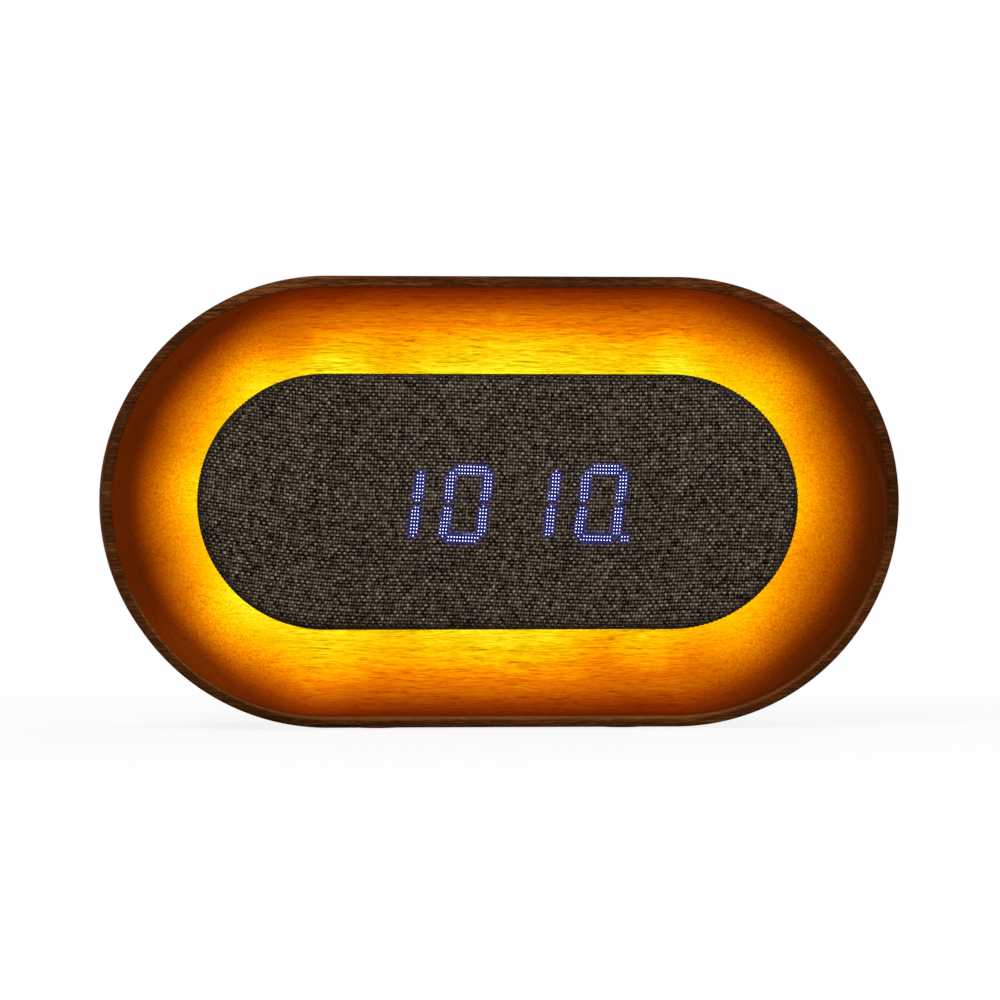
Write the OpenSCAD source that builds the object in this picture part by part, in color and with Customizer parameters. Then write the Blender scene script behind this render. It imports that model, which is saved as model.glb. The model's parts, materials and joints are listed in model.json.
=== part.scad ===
// Digital alarm clock: a round-ended wooden dish standing on its long side, with a cloth-covered
// display panel that floats over a lit cove. Millimetres.
// Each piece is drawn with the clock lying on its back: x to the right, y up the face, and z from
// the back plane to the rim. stood_up() then sets the clock on its feet, facing -Y.

/* [Outline] */
// Length of the straight sides that all the round-ended outlines share
straight_l = 88; // [76:0.5:140]
// Height of the panel over its cloth
panel_h = 64.3; // [58:0.1:90]
// Width of the cove between the panel and the rim
cove_w = 21.9; // [18:0.1:26]
// Width of the flat rim
rim_w = 2.7; // [2.4:0.1:6]

/* [Wooden shell] */
// Depth of the cove from the rim to its floor
cove_depth = 32; // [29:0.5:45]
// Rounding of the rim's two edges
rim_round = 0.8; // [0.3:0.1:1.1]
// Rounding of the edge round the back
back_round = 4; // [1:0.5:8]
// Thickness of the web between the cove's floor and the rear pocket
web_t = 6; // [4:0.5:10]
// Thickness of the wall round the rear cover
back_wall = 10; // [6:0.5:14]
// Width of the ledge that the rear cover sits on
ledge_w = 8; // [6.5:0.5:12]
// Wood left between the opening in the web and the axes of the core's screws
web_edge = 4.5; // [3.5:0.1:7]
// Flat floor left outside the core's flange before the cove's curve starts
floor_margin = 2; // [0.5:0.1:4]

/* [Feet] */
// Diameter of a foot pad
foot_d = 10; // [6:0.5:14]
// Thickness of a foot pad
foot_t = 1.2; // [1:0.1:3]
// How far a foot pad stands out of its pocket
foot_proud = 0.4; // [0.2:0.1:0.8]
// Distance of a foot's centre from the end of the straight side
foot_end = 13; // [8:0.5:24]
// Distance of a foot's centre from the front and from the back
foot_inset = 12; // [9:0.5:18]

/* [Panel] */
// Setback of the cloth's face from the rim
panel_setback = 8; // [2:0.5:11]
// Depth of the panel from the cloth's face to the back of its skirt
panel_depth = 8; // [6:0.5:10]
// Rounding of the panel's front edge over the cloth
panel_round = 2.5; // [1.2:0.1:4]
// Thickness of the cloth
fabric_t = 0.7; // [0.4:0.1:1]
// Thickness of the panel's front plate
plate_t = 2.5; // [2:0.1:4]
// Thickness of the panel's skirt
skirt_t = 2; // [1.5:0.1:3]
// Diameter of the bosses that fasten the panel to the light core
panel_boss_d = 7; // [6:0.1:9]
// Height of those bosses above and below the middle
panel_boss_y = 10; // [6:0.5:12]
// Room between those bosses and the display board
panel_boss_gap = 2; // [1:0.1:4]

/* [Display] */
// Height of a digit between the middles of its top and bottom bars
digit_h = 17.4; // [14:0.1:20]
// Width of a digit between the middles of its side bars
digit_w = 9.3; // [7:0.1:11]
// Distance from one digit to the next
digit_pitch = 17.2; // [14:0.1:18]
// Width of a bar
bar_w = 2.2; // [1.4:0.1:3]
// Gap between the ends of two bars
bar_gap = 0.5; // [0.3:0.1:1]
// Lean of the digits in degrees
digit_lean = 8; // [0:1:12]
// Distance of a digit's dot to the right of the digit's middle
dot_x = 7.1; // [6:0.1:8]
// Drop of the display's middle below the middle of the face
display_drop = 0.6; // [0:0.1:3]
// Border of the display housing beside the digits
housing_side = 6; // [5:0.1:10]
// Border of the display housing over and under the digits
housing_top = 4.4; // [3:0.1:6]
// Depth of the display housing
housing_d = 6; // [5:0.1:8]
// Overhang of the display board past the housing's ends
display_board_end = 7; // [6:0.1:10]
// Overhang of the display board over and under the housing
display_board_top = 1; // [0.5:0.1:2]
// Thickness of the display board
display_board_t = 1.2; // [0.8:0.1:1.6]
// Height of the display board's screws above and below the display's middle
display_screw_y = 9; // [6:0.1:11]
// Diameter of the bosses behind the display board's screws
display_boss_d = 5; // [4:0.1:6]
// Room between the display board and the light core
display_room = 2.1; // [1.9:0.1:4]
// Length, width and height of a light chip under a bar
chip_led = [1.2, 0.8, 0.5];
// Room for the light chips behind the bars
chip_room = 1; // [0.8:0.1:2]

/* [Light core] */
// Overhang of the panel past the core's flanges
core_overhang = 3.15; // [2:0.05:6]
// Wall of the core's tube
core_wall = 2; // [1.5:0.1:3]
// Thickness of the core's flange and front plate
core_flange_t = 2; // [1.5:0.1:3]
// Diameter of the core's screw bosses
core_boss_d = 6.5; // [5.5:0.1:8]
// How far those bosses run into the core's tube
core_boss_sink = 1.75; // [1:0.05:2]
// Distance of the core's screws from the middle of the face
core_screw_x = 32; // [26:0.5:38]
// Depth that the core's screws reach into their bosses
core_grip = 6; // [4:0.5:7]
// Thickness of the foam ring under the core
gasket_t = 1; // [0.5:0.1:2]
// Thickness of the flexible light strip
strip_t = 0.3; // [0.2:0.1:0.5]
// Length, width and height of a light on the strip
strip_led = [3.5, 2.8, 1.4];
// Lights on each straight side of the strip
straight_leds = 7; // [3:1:12]
// Lights round each end of the strip
end_leds = 7; // [3:1:12]
// Wall of the diffuser band
diffuser_t = 1.4; // [1:0.1:2]
// Gap between the lights and the diffuser band
diffuser_gap = 0.15; // [0.1:0.05:1]
// Setback of the diffuser band from the edge of the flanges
diffuser_setback = 0.2; // [0.1:0.1:1]
// Distance of the strip's wires from the middle of the face
strip_wire_x = 10; // [4:0.5:20]

/* [Rear cover] */
// Depth of the rear cover's face below the back plane
rear_recess = 1.5; // [1.2:0.1:4]
// Thickness of the rear cover
cover_t = 2.5; // [2:0.1:4]
// Gap round the rear cover
cover_gap = 0.3; // [0.2:0.05:0.6]
// Diameter of a hole in the sound grille
grille_hole_d = 1.6; // [1:0.1:2]
// Distance of the outer grille holes from the middle one
grille_r = 3.5; // [2.5:0.1:4.5]

/* [Main board] */
// Gap between the rear cover and the main board
board_gap = 7; // [6:0.1:10]
// Thickness of the main board
board_t = 1.6; // [1:0.1:2]
// Room between the main board and the web
board_room = 5.4; // [4.5:0.1:10]
// Length of the main board past the straight sides at each end
board_end = 11.75; // [6:0.25:14]
// Height of the main board
board_h = 56; // [50:0.5:60]
// Distance of the board's screws from its edges
board_screw_inset = 5; // [4:0.5:7]
// Diameter of the posts that carry the board
board_post_d = 6.5; // [5.5:0.1:8]
// Side and height of the control chip
control_chip_size = [9, 1.4];
// Diameter of a capacitor
capacitor_d = 5; // [4:0.1:8]
// Length of the battery
battery_l = 50; // [30:1:54]
// Thickness of the battery
battery_t = 8; // [4:0.5:12]
// Gap between the battery and the opening in the web
battery_gap = 2.5; // [2:0.1:5]
// Thickness of the foam pad under the battery
battery_pad_t = 1; // [0.5:0.1:2]
// Diameter of a wire over its insulation
wire_d = 1; // [0.6:0.1:1.4]
// Radius of a bend in a wire, along its middle
wire_bend = 2; // [1:0.1:3]
// Diameter of the buzzer
buzzer_d = 12; // [9:0.5:14]
// Gap between the buzzer and the rear cover
buzzer_gap = 0.5; // [0.2:0.1:1]
// Width and thickness of the display's ribbon
ribbon_size = [10, 0.3];
// Length, width and height of the ribbon's connectors
ribbon_connector = [12, 3, 1.6];
// Length, width and height of the display's driver chip
driver_chip = [10, 6, 1.4];
// Length, width and height of the crystal's can
crystal_can = [7, 3.5, 2.5];

/* [Controls] */
// Diameter of a button's cap
button_d = 7.6; // [6:0.1:10]
// Distance from one button to the next
button_pitch = 16; // [13:0.5:20]
// Height of the row of buttons above the middle of the face
button_y = 12; // [8:0.5:16]
// Height of a cap above the rear cover's face
cap_proud = 0.9; // [0.7:0.05:1.2]
// Depth of the marks cut into the caps and the knob
mark_depth = 0.25; // [0.15:0.05:0.4]
// Bevel round a cap
cap_bevel = 0.3; // [0.1:0.05:0.5]
// Travel of a button
button_travel = 0.6; // [0.3:0.05:0.7]
// Thickness of the flange that keeps a button in
button_flange_t = 1; // [0.8:0.1:1.4]
// Width of that flange outside the cap
button_flange_w = 1.2; // [0.8:0.1:2]
// Diameter of the stem under the flange
button_stem_d = 3; // [2:0.1:3.2]
// Length of the stem under the flange
button_stem_l = 0.9; // [0.8:0.1:1.2]
// Side of a push switch
push_switch_w = 6; // [5:0.1:8]
// Height of a push switch
push_switch_h = 3.5; // [3:0.1:4]
// Diameter of a push switch's plunger
plunger_d = 3.4; // [3:0.1:4]
// Length of a plunger
plunger_l = 3; // [2.6:0.1:3.2]
// Length, width and height of the slide switch's case
slide_case = [13, 6.6, 4.7];
// Travel of the slide switch
slide_travel = 3; // [2:0.1:4]
// Length and width of the slide switch's knob
slide_knob = [5, 3.4];
// Length, width and thickness of the slider inside the case
slider_size = [5, 3.6, 2];
// Length and width of the neck between the slider and the knob
slide_neck = [3, 1.8];
// Thickness of the case over the slider
slide_lid_t = 0.8; // [0.5:0.1:1.2]

/* [Charging socket] */
// Width and height of the socket's shell
socket_size = [8.94, 3.26];
// Wall of the shell
socket_wall = 0.3; // [0.2:0.05:0.5]
// Thickness of the shell's floor
socket_floor = 1; // [0.6:0.1:2]
// Width and thickness of the tongue
tongue_size = [6.69, 0.7];
// Depth of the tongue's end inside the mouth
tongue_depth = 1; // [0.5:0.1:2]
// Distance of the socket's middle from the main board's lower edge
socket_edge = 8; // [5:0.5:12]

/* [Fasteners] */
// Diameter of a large screw's shank
screw_d = 2.9; // [2.2:0.1:3.2]
// Diameter of a large screw's head
screw_head_d = 5; // [4.5:0.1:5.6]
// Height of a large screw's head
screw_head_h = 1.3; // [0.8:0.1:1.6]
// Diameter of a small screw's shank
small_screw_d = 2; // [1.6:0.1:2.4]
// Diameter of a small screw's head
small_head_d = 3.8; // [3.2:0.1:4.2]
// Height of a small screw's head
small_head_h = 1.2; // [0.8:0.1:1.4]
// Depth that a screw reaches into a post or boss
screw_grip = 5; // [4:0.1:5.5]
// Depth that a display screw reaches into its boss
small_grip = 3; // [2.5:0.1:3.4]
// Depth that a rear cover screw reaches into the wood
cover_grip = 9; // [6:0.5:12]

/* [Fits] */
// Gap round a piece that is set into an opening
seat_gap = 0.3; // [0.15:0.05:0.5]
// Gap round a button's cap, and round the slide switch's knob
cap_gap = 0.2; // [0.1:0.05:0.4]
// Gap round a plunger and round a screw in its hole
slip_gap = 0.05; // [0.03:0.01:0.1]
// Least gap between two pieces that don't touch
air_gap = 0.1; // [0.05:0.01:0.3]
// How far a cut runs past the face that it opens in
cut_past = 0.2; // [0.05:0.05:0.5]

/* [Hidden] */
$fn = 96;

// Radii of the round-ended outlines
panel_r = panel_h / 2;
cove_wall_r = panel_r + cove_w;
body_r = cove_wall_r + rim_w;
rebate_r = body_r - back_wall;
pocket_r = rebate_r - ledge_w;
ledge_r = pocket_r + ledge_w / 2;
cover_r = rebate_r - cover_gap;
backing_r = panel_r - fabric_t;
skirt_r = backing_r - skirt_t;
core_r = panel_r - core_overhang;
channel_depth = strip_t + slip_gap + strip_led.z + diffuser_gap + diffuser_t + diffuser_setback;
tube_r = core_r - channel_depth;
bore_r = tube_r - core_wall;
core_screw_y = bore_r + core_boss_sink - core_boss_d / 2;
web_hole_r = core_screw_y - web_edge;
cove_floor_r = core_r + floor_margin;
cove_r = cove_wall_r - cove_floor_r;

// Depths in the rear stack, from the back plane
cover_z = rear_recess;
cover_in_z = cover_z + cover_t;
board_z = cover_in_z + board_gap;
board_front_z = board_z + board_t;
web_z = board_front_z + board_room;
floor_z = web_z + web_t;
body_d = floor_z + cove_depth;

// Depths in the front stack
panel_front_z = body_d - panel_setback;
backing_z = panel_front_z - fabric_t;
plate_back_z = backing_z - plate_t;
skirt_back_z = panel_front_z - panel_depth;
hem_z = skirt_back_z - fabric_t;
housing_z = backing_z - housing_d;
display_back_z = housing_z - display_board_t;
core_top_z = display_back_z - display_room;
core_plate_z = core_top_z - core_flange_t;
core_base_z = floor_z + gasket_t;
channel_z = core_base_z + core_flange_t;
channel_mid_z = (channel_z + core_plate_z) / 2;

// The display and its board
display_y = -display_drop;
housing_w = 3 * digit_pitch + digit_w + 2 * housing_side;
housing_h = digit_h + 2 * housing_top;
display_board_w = housing_w + 2 * display_board_end;
display_board_h = housing_h + 2 * display_board_top;
display_screw_x = (housing_w + display_board_end) / 2;
panel_boss_x = display_board_w / 2 + panel_boss_gap + panel_boss_d / 2;
ribbon_x = -display_screw_x + display_board_end / 2;

// The main board and what it carries
board_w = straight_l + 2 * board_end;
board_screw_x = board_w / 2 - board_screw_inset;
board_screw_y = board_h / 2 - board_screw_inset;
battery_h = 2 * (web_hole_r - battery_gap);
battery_z = board_front_z + battery_pad_t;
strip_wire_y = web_hole_r - battery_gap / 2;
control_chip_x = straight_l / 2;
capacitor_at = [-straight_l / 2 - capacitor_d, 1.4 * capacitor_d];
capacitor_h = board_room - 3 * seat_gap;
buzzer_at = [-straight_l / 2 + buzzer_d * 3 / 4, -buzzer_d];
socket_at = [0, socket_edge - board_h / 2];
slide_at = [straight_l / 2 - slide_case.x * 3 / 4, -buzzer_d];

// The buttons, in a row from the left of the face
button_x = [for (i = [0:3]) (i - 1.5) * button_pitch];
cap_z = cover_z - cap_proud;
button_flange_z = cover_in_z + air_gap;
button_stem_z = button_flange_z + button_flange_t;
plunger_z = button_stem_z + button_stem_l;
push_switch_z = board_z - push_switch_h;
slide_case_z = board_z - slide_case.z;
slider_z = slide_case_z + slide_lid_t + air_gap;

// The feet stand on the ground at the origin's height
foot_x = straight_l / 2 - foot_end;
foot_pocket = foot_t - foot_proud;
centre_height = body_r + foot_proud;

module stood_up() {
    translate([0, body_d / 2, centre_height]) rotate([90, 0, 0]) children();
}

// Repeats its children, mirrored, in the four corners at x and y
module at_corners(x, y) {
    for (sx = [-1, 1], sy = [-1, 1]) translate([sx * x, sy * y, 0]) children();
}

// A quarter of a disc between the two directions that turn points along
module quarter_disc(r, turn) {
    rotate(turn) intersection() {
        circle(r);
        square(2 * r);
    }
}

// A rectangle from the origin, with its far top corner rounded
module rounded_block(w, h, r) {
    square([w - r, h]);
    translate([w - r, 0]) square([r, h - r]);
    translate([w - r, h - r]) quarter_disc(r, 0);
}

// A flat outline with straight sides and round ends
module track(r) {
    square([straight_l, 2 * r], center = true);
    for (turn = [0, 180]) rotate(turn) translate([straight_l / 2, 0]) {
        quarter_disc(r, 0);
        quarter_disc(r, -90);
    }
}

// Carries a profile, drawn as distance from the spine and height, round the straight sides and ends
module sweep_track() {
    for (turn = [0, 180]) rotate([0, 0, turn]) {
        translate([straight_l / 2, 0, 0]) rotate([0, 0, -90]) rotate_extrude(angle = 180) children();
        translate([-straight_l / 2, 0, 0]) rotate([90, 0, 90]) linear_extrude(straight_l) children();
    }
}

module slab(r, z0, z1) {
    translate([0, 0, z0]) linear_extrude(z1 - z0) track(r);
}

module block(size, z0, z1) {
    translate([-size.x / 2, -size.y / 2, z0]) cube([size.x, size.y, z1 - z0]);
}

module peg(d, z0, z1) {
    translate([0, 0, z0]) cylinder(d = d, h = z1 - z0);
}

// A hole right through, from below z0 to above z1
module through(d, z0, z1) {
    peg(d, z0 - cut_past, z1 + cut_past);
}

// A hole that opens at z0 and ends at z1
module blind(d, z0, z1) {
    peg(d, z0 - cut_past, z1);
}

// A screw whose head seats at height z and whose shank runs up from there
module screw(d, head_d, head_h, z, l) {
    drive = [0.5 * head_d, 0.14 * head_d];
    difference() {
        union() {
            peg(head_d, z - head_h, z);
            peg(d, z, z + l);
        }
        for (turn = [0, 90]) rotate(turn) block(drive, z - head_h - cut_past, z - head_h / 2);
    }
}

module shell_profile() {
    difference() {
        union() {
            translate([0, back_round]) rounded_block(body_r, body_d - back_round, rim_round);
            square([body_r - back_round, back_round]);
            translate([body_r - back_round, back_round]) quarter_disc(back_round, -90);
        }
        cove_void();
        translate([0, -cut_past]) {
            square([web_hole_r, body_d]);
            square([pocket_r, web_z + cut_past]);
            square([rebate_r, cover_in_z + cut_past]);
        }
    }
}

// The hollow of the cove, with its curved floor and the rounding of the rim's inner edge
module cove_void() {
    lip_z = body_d - rim_round;
    open_z = body_d + cut_past;
    translate([0, floor_z]) square([cove_floor_r, open_z - floor_z]);
    translate([cove_floor_r, floor_z + cove_r]) quarter_disc(cove_r, -90);
    translate([cove_floor_r, floor_z + cove_r]) square([cove_r, open_z - floor_z - cove_r]);
    difference() {
        translate([cove_floor_r, lip_z]) square([cove_r + rim_round, open_z - lip_z]);
        translate([cove_wall_r + rim_round, lip_z]) circle(rim_round);
    }
}

module wood_shell() {
    color([0.30, 0.16, 0.07]) stood_up() difference() {
        sweep_track() shell_profile();
        at_cover_screws() blind(screw_d + 2 * slip_gap, cover_in_z, cover_in_z + cover_grip);
        at_corners(core_screw_x, core_screw_y) through(screw_d + 2 * cap_gap, web_z, floor_z);
        at_feet() blind(foot_d + 2 * cap_gap, 0, foot_pocket);
    }
}

// Places its children on the flat underside, with their z pointing up into the wood
module at_feet() {
    for (sx = [-1, 1], z = [foot_inset, body_d - foot_inset])
        translate([sx * foot_x, -body_r, z]) rotate([-90, 0, 0]) children();
}

module feet() {
    color([0.10, 0.10, 0.10]) stood_up() at_feet() peg(foot_d, -foot_proud, foot_pocket);
}

module at_cover_screws() {
    at_corners(straight_l / 2, ledge_r) children();
    for (sx = [-1, 1]) translate([sx * (straight_l / 2 + ledge_r), 0, 0]) children();
}

module grille() {
    through(grille_hole_d, cover_z, cover_in_z);
    for (i = [0:5]) rotate(60 * i) translate([grille_r, 0, 0]) through(grille_hole_d, cover_z, cover_in_z);
}

// The socket's round-ended outline, grown by a gap
module socket_outline(gap) {
    r = socket_size.y / 2 + gap;
    side = socket_size.x - socket_size.y;
    square([side, 2 * r], center = true);
    for (turn = [0, 180]) rotate(turn) translate([side / 2, 0]) {
        quarter_disc(r, 0);
        quarter_disc(r, -90);
    }
}

module rear_cover() {
    slot = [slide_knob.x + slide_travel + 2 * cap_gap, slide_knob.y + 2 * cap_gap];
    head_seat_z = cover_z + screw_head_h;
    color([0.13, 0.12, 0.12]) stood_up() difference() {
        union() {
            slab(cover_r, cover_z, cover_in_z);
            at_corners(board_screw_x, board_screw_y) peg(board_post_d, cover_in_z - cover_t / 2, board_z);
        }
        at_corners(board_screw_x, board_screw_y)
            peg(small_screw_d + 2 * slip_gap, board_z - screw_grip, board_z + cut_past);
        at_cover_screws() {
            through(screw_d + 2 * cap_gap, cover_z, cover_in_z);
            blind(screw_head_d + 2 * cap_gap, cover_z, head_seat_z);
        }
        for (x = button_x) translate([x, button_y, 0]) through(button_d + 2 * cap_gap, cover_z, cover_in_z);
        translate(slide_at) block(slot, cover_z - cut_past, cover_in_z + cut_past);
        translate(socket_at) translate([0, 0, cover_z - cut_past])
            linear_extrude(cover_t + 2 * cut_past) socket_outline(seat_gap);
        translate(buzzer_at) grille();
    }
}

module cover_screws() {
    seat_z = cover_z + screw_head_h;
    length = cover_in_z - seat_z + cover_grip - seat_gap;
    color([0.25, 0.25, 0.26]) stood_up() at_cover_screws()
        screw(screw_d, screw_head_d, screw_head_h, seat_z, length);
}

module core_profile() {
    translate([bore_r, core_base_z]) square([core_r - bore_r, core_flange_t]);
    translate([bore_r, core_base_z]) square([core_wall, core_top_z - core_base_z]);
    translate([0, core_plate_z]) square([core_r, core_flange_t]);
}

module light_core() {
    wire_hole_d = 4 * wire_d;
    ribbon_slot = [ribbon_size.x + 2 * seat_gap, ribbon_size.y + 2 * seat_gap];
    color([0.85, 0.84, 0.80]) stood_up() difference() {
        union() {
            sweep_track() core_profile();
            at_corners(core_screw_x, core_screw_y)
                peg(core_boss_d, floor_z, core_plate_z + core_flange_t / 2);
        }
        at_corners(core_screw_x, core_screw_y)
            blind(screw_d + 2 * slip_gap, floor_z, floor_z + core_grip + seat_gap);
        at_corners(panel_boss_x, panel_boss_y) through(screw_d + 2 * cap_gap, core_plate_z, core_top_z);
        translate([ribbon_x, display_y, 0])
            block(ribbon_slot, core_plate_z - cut_past, core_top_z + cut_past);
        translate([-strip_wire_x, 0, channel_mid_z]) rotate([-90, 0, 0]) through(wire_hole_d, bore_r, tube_r);
    }
}

module core_gasket() {
    ring_w = core_r - tube_r - 3 * seat_gap;
    color([0.08, 0.08, 0.08]) stood_up() difference() {
        sweep_track() translate([tube_r + 2 * seat_gap, floor_z]) square([ring_w, gasket_t]);
        at_corners(core_screw_x, core_screw_y) through(core_boss_d + 2 * seat_gap, floor_z, core_base_z);
    }
}

module core_screws() {
    color([0.70, 0.70, 0.72]) stood_up() at_corners(core_screw_x, core_screw_y)
        screw(screw_d, screw_head_d, screw_head_h, web_z, web_t + core_grip);
}

module backlight_strip() {
    height = core_plate_z - channel_z - 2 * air_gap;
    color([0.90, 0.88, 0.80]) stood_up()
        sweep_track() translate([tube_r, channel_z + air_gap]) square([strip_t, height]);
}

// A light on the strip, facing outwards along y
module strip_light() {
    seat_r = tube_r + strip_t + slip_gap;
    translate([-strip_led.x / 2, seat_r, channel_mid_z - strip_led.y / 2])
        cube([strip_led.x, strip_led.z, strip_led.y]);
}

module backlight_leds() {
    color([0.95, 0.75, 0.25]) stood_up() for (turn = [0, 180]) rotate([0, 0, turn]) {
        for (i = [0:straight_leds - 1])
            translate([straight_l * ((i + 0.5) / straight_leds - 0.5), 0, 0]) strip_light();
        for (i = [0:end_leds - 1])
            translate([straight_l / 2, 0, 0]) rotate([0, 0, -180 * (i + 0.5) / end_leds]) strip_light();
    }
}

module diffuser_band() {
    height = core_plate_z - channel_z - 2 * air_gap;
    inner_r = core_r - diffuser_setback - diffuser_t;
    color([1.0, 0.80, 0.35]) stood_up()
        sweep_track() translate([inner_r, channel_z + air_gap]) square([diffuser_t, height]);
}

// A wire that runs down from height z0 and turns outwards along y, reaching the distance reach at
// height z1. Its down run stands at the origin.
module bent_wire(z0, z1, reach) {
    peg(wire_d, z0, z1 - wire_bend);
    translate([0, wire_bend, z1 - wire_bend]) rotate([0, -90, 0]) rotate([0, 0, -90])
        rotate_extrude(angle = 90) translate([wire_bend, 0]) circle(d = wire_d);
    translate([0, reach, z1]) rotate([90, 0, 0]) cylinder(d = wire_d, h = reach - wire_bend);
}

module backlight_wires() {
    color([0.75, 0.10, 0.08]) stood_up() for (side = [-1, 1])
        translate([-strip_wire_x + side * wire_d, strip_wire_y, 0])
            bent_wire(board_front_z, channel_mid_z, tube_r - strip_wire_y);
}

// A block from the spine out to the radius r, with a rounded front edge
module panel_profile(r, z0, z1, rounding) {
    translate([0, z0]) rounded_block(r, z1 - z0, rounding);
}

module at_display_screws() {
    translate([0, display_y, 0]) at_corners(display_screw_x, display_screw_y) children();
}

module front_panel() {
    window = [housing_w + 2 * seat_gap, housing_h + 2 * seat_gap];
    boss_top_z = plate_back_z + plate_t / 2;
    color([0.12, 0.12, 0.13]) stood_up() difference() {
        union() {
            sweep_track() difference() {
                panel_profile(backing_r, skirt_back_z, backing_z, panel_round - fabric_t);
                translate([0, skirt_back_z - cut_past])
                    square([skirt_r, plate_back_z - skirt_back_z + cut_past]);
            }
            at_display_screws() peg(display_boss_d, housing_z, boss_top_z);
            at_corners(panel_boss_x, panel_boss_y) peg(panel_boss_d, core_top_z, boss_top_z);
        }
        translate([0, display_y, 0]) block(window, plate_back_z - cut_past, backing_z + cut_past);
        at_display_screws()
            blind(small_screw_d + 2 * slip_gap, housing_z, housing_z + small_grip + seat_gap);
        at_corners(panel_boss_x, panel_boss_y)
            blind(screw_d + 2 * slip_gap, core_top_z, core_top_z + screw_grip + seat_gap);
    }
}

module panel_screws() {
    color([0.70, 0.70, 0.72]) stood_up() at_corners(panel_boss_x, panel_boss_y)
        screw(screw_d, screw_head_d, screw_head_h, core_plate_z, core_flange_t + screw_grip);
}

// Cloth drawn over the panel's face and edge, with a hem turned in behind the skirt
module fabric_cover() {
    color([0.25, 0.21, 0.17]) stood_up() sweep_track() difference() {
        panel_profile(panel_r, hem_z, panel_front_z, panel_round);
        panel_profile(backing_r, skirt_back_z, backing_z, panel_round - fabric_t);
        translate([0, hem_z - cut_past]) square([skirt_r, fabric_t + 2 * cut_past]);
    }
}

// Middles of a digit's seven bars, and whether each bar is upright
bar_places = [[0, 1, false], [1, 0.5, true], [1, -0.5, true], [0, -1, false],
    [-1, -0.5, true], [-1, 0.5, true], [0, 0, false]];

function leaning(p) = [p.x + p.y * tan(digit_lean), p.y];
function bar_middle(place) = [place.x * digit_w / 2, place.y * digit_h / 2];
function bar_length(upright) = (upright ? digit_h / 2 : digit_w) - bar_gap;
function bar_outline(l) = [[-l / 2, 0], [(bar_w - l) / 2, bar_w / 2], [(l - bar_w) / 2, bar_w / 2],
    [l / 2, 0], [(l - bar_w) / 2, -bar_w / 2], [(bar_w - l) / 2, -bar_w / 2]];
function turned(p, upright) = upright ? [p.y, -p.x] : p;
function bar_points(place) = [for (p = bar_outline(bar_length(place[2])))
    leaning(bar_middle(place) + turned(p, place[2]))];

// The bars and the dot of a digit, from height z0 to z1
module bars(z0, z1) {
    translate([0, 0, z0]) linear_extrude(z1 - z0) for (place = bar_places)
        polygon(bar_points(place));
    translate(leaning([dot_x, -digit_h / 2])) peg(bar_w, z0, z1);
}

module at_digit(i) {
    translate([(i - 1.5) * digit_pitch, display_y, 0]) children();
}

module display_housing() {
    color([0.07, 0.07, 0.07]) stood_up() difference() {
        translate([0, display_y, 0]) block([housing_w, housing_h], housing_z, backing_z);
        for (i = [0:3]) at_digit(i) bars(housing_z - cut_past, backing_z + cut_past);
    }
}

module digit(i) {
    color([0.75, 0.80, 1.0]) stood_up() at_digit(i) bars(housing_z + chip_room, backing_z);
}

module display_leds() {
    color([0.9, 0.9, 0.6]) stood_up() for (i = [0:3]) at_digit(i) {
        for (place = bar_places)
            translate(leaning(bar_middle(place))) block(chip_led, housing_z, housing_z + chip_led.z);
        translate(leaning([dot_x, -digit_h / 2])) block(chip_led, housing_z, housing_z + chip_led.z);
    }
}

module display_board() {
    size = [display_board_w, display_board_h];
    color([0.05, 0.25, 0.12]) stood_up() difference() {
        translate([0, display_y, 0]) block(size, display_back_z, housing_z);
        at_display_screws() through(small_screw_d + 2 * cap_gap, display_back_z, housing_z);
    }
}

module display_driver() {
    color([0.06, 0.06, 0.07]) stood_up() translate([0, display_y, 0])
        block(driver_chip, display_back_z - driver_chip.z, display_back_z);
}

module display_screws() {
    color([0.70, 0.70, 0.72]) stood_up() at_display_screws()
        screw(small_screw_d, small_head_d, small_head_h, display_back_z, display_board_t + small_grip);
}

module display_ribbon() {
    color([0.80, 0.55, 0.20]) stood_up() translate([ribbon_x, display_y, 0])
        block(ribbon_size, board_front_z + ribbon_connector.z, display_back_z - ribbon_connector.z);
}

module ribbon_connectors() {
    color([0.88, 0.85, 0.76]) stood_up() translate([ribbon_x, display_y, 0]) {
        block(ribbon_connector, board_front_z, board_front_z + ribbon_connector.z);
        block(ribbon_connector, display_back_z - ribbon_connector.z, display_back_z);
    }
}

module main_board() {
    color([0.05, 0.25, 0.12]) stood_up() difference() {
        block([board_w, board_h], board_z, board_front_z);
        at_corners(board_screw_x, board_screw_y) through(small_screw_d + 2 * cap_gap, board_z, board_front_z);
    }
}

// The board's screws are driven from the front side of the board, into the posts
module board_screws() {
    length = board_t + screw_grip - seat_gap;
    color([0.70, 0.70, 0.72]) stood_up() at_corners(board_screw_x, board_screw_y)
        translate([0, 0, 2 * board_front_z]) rotate([180, 0, 0])
            screw(small_screw_d, small_head_d, small_head_h, board_front_z, length);
}

module control_chip() {
    side = control_chip_size.x;
    color([0.06, 0.06, 0.07]) stood_up() translate([control_chip_x, 0, 0])
        block([side, side], board_front_z, board_front_z + control_chip_size.y);
}

module crystal() {
    color([0.75, 0.75, 0.77]) stood_up() translate([control_chip_x, control_chip_size.x, 0])
        block(crystal_can, board_front_z, board_front_z + crystal_can.z);
}

module capacitors() {
    color([0.20, 0.22, 0.30]) stood_up() for (side = [-1, 1])
        translate([capacitor_at.x, side * capacitor_at.y, 0])
            peg(capacitor_d, board_front_z, board_front_z + capacitor_h);
}

module battery() {
    color([0.72, 0.73, 0.76]) stood_up() block([battery_l, battery_h], battery_z, battery_z + battery_t);
}

module battery_pad() {
    color([0.15, 0.15, 0.16]) stood_up() block([battery_l, battery_h], board_front_z, battery_z);
}

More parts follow.
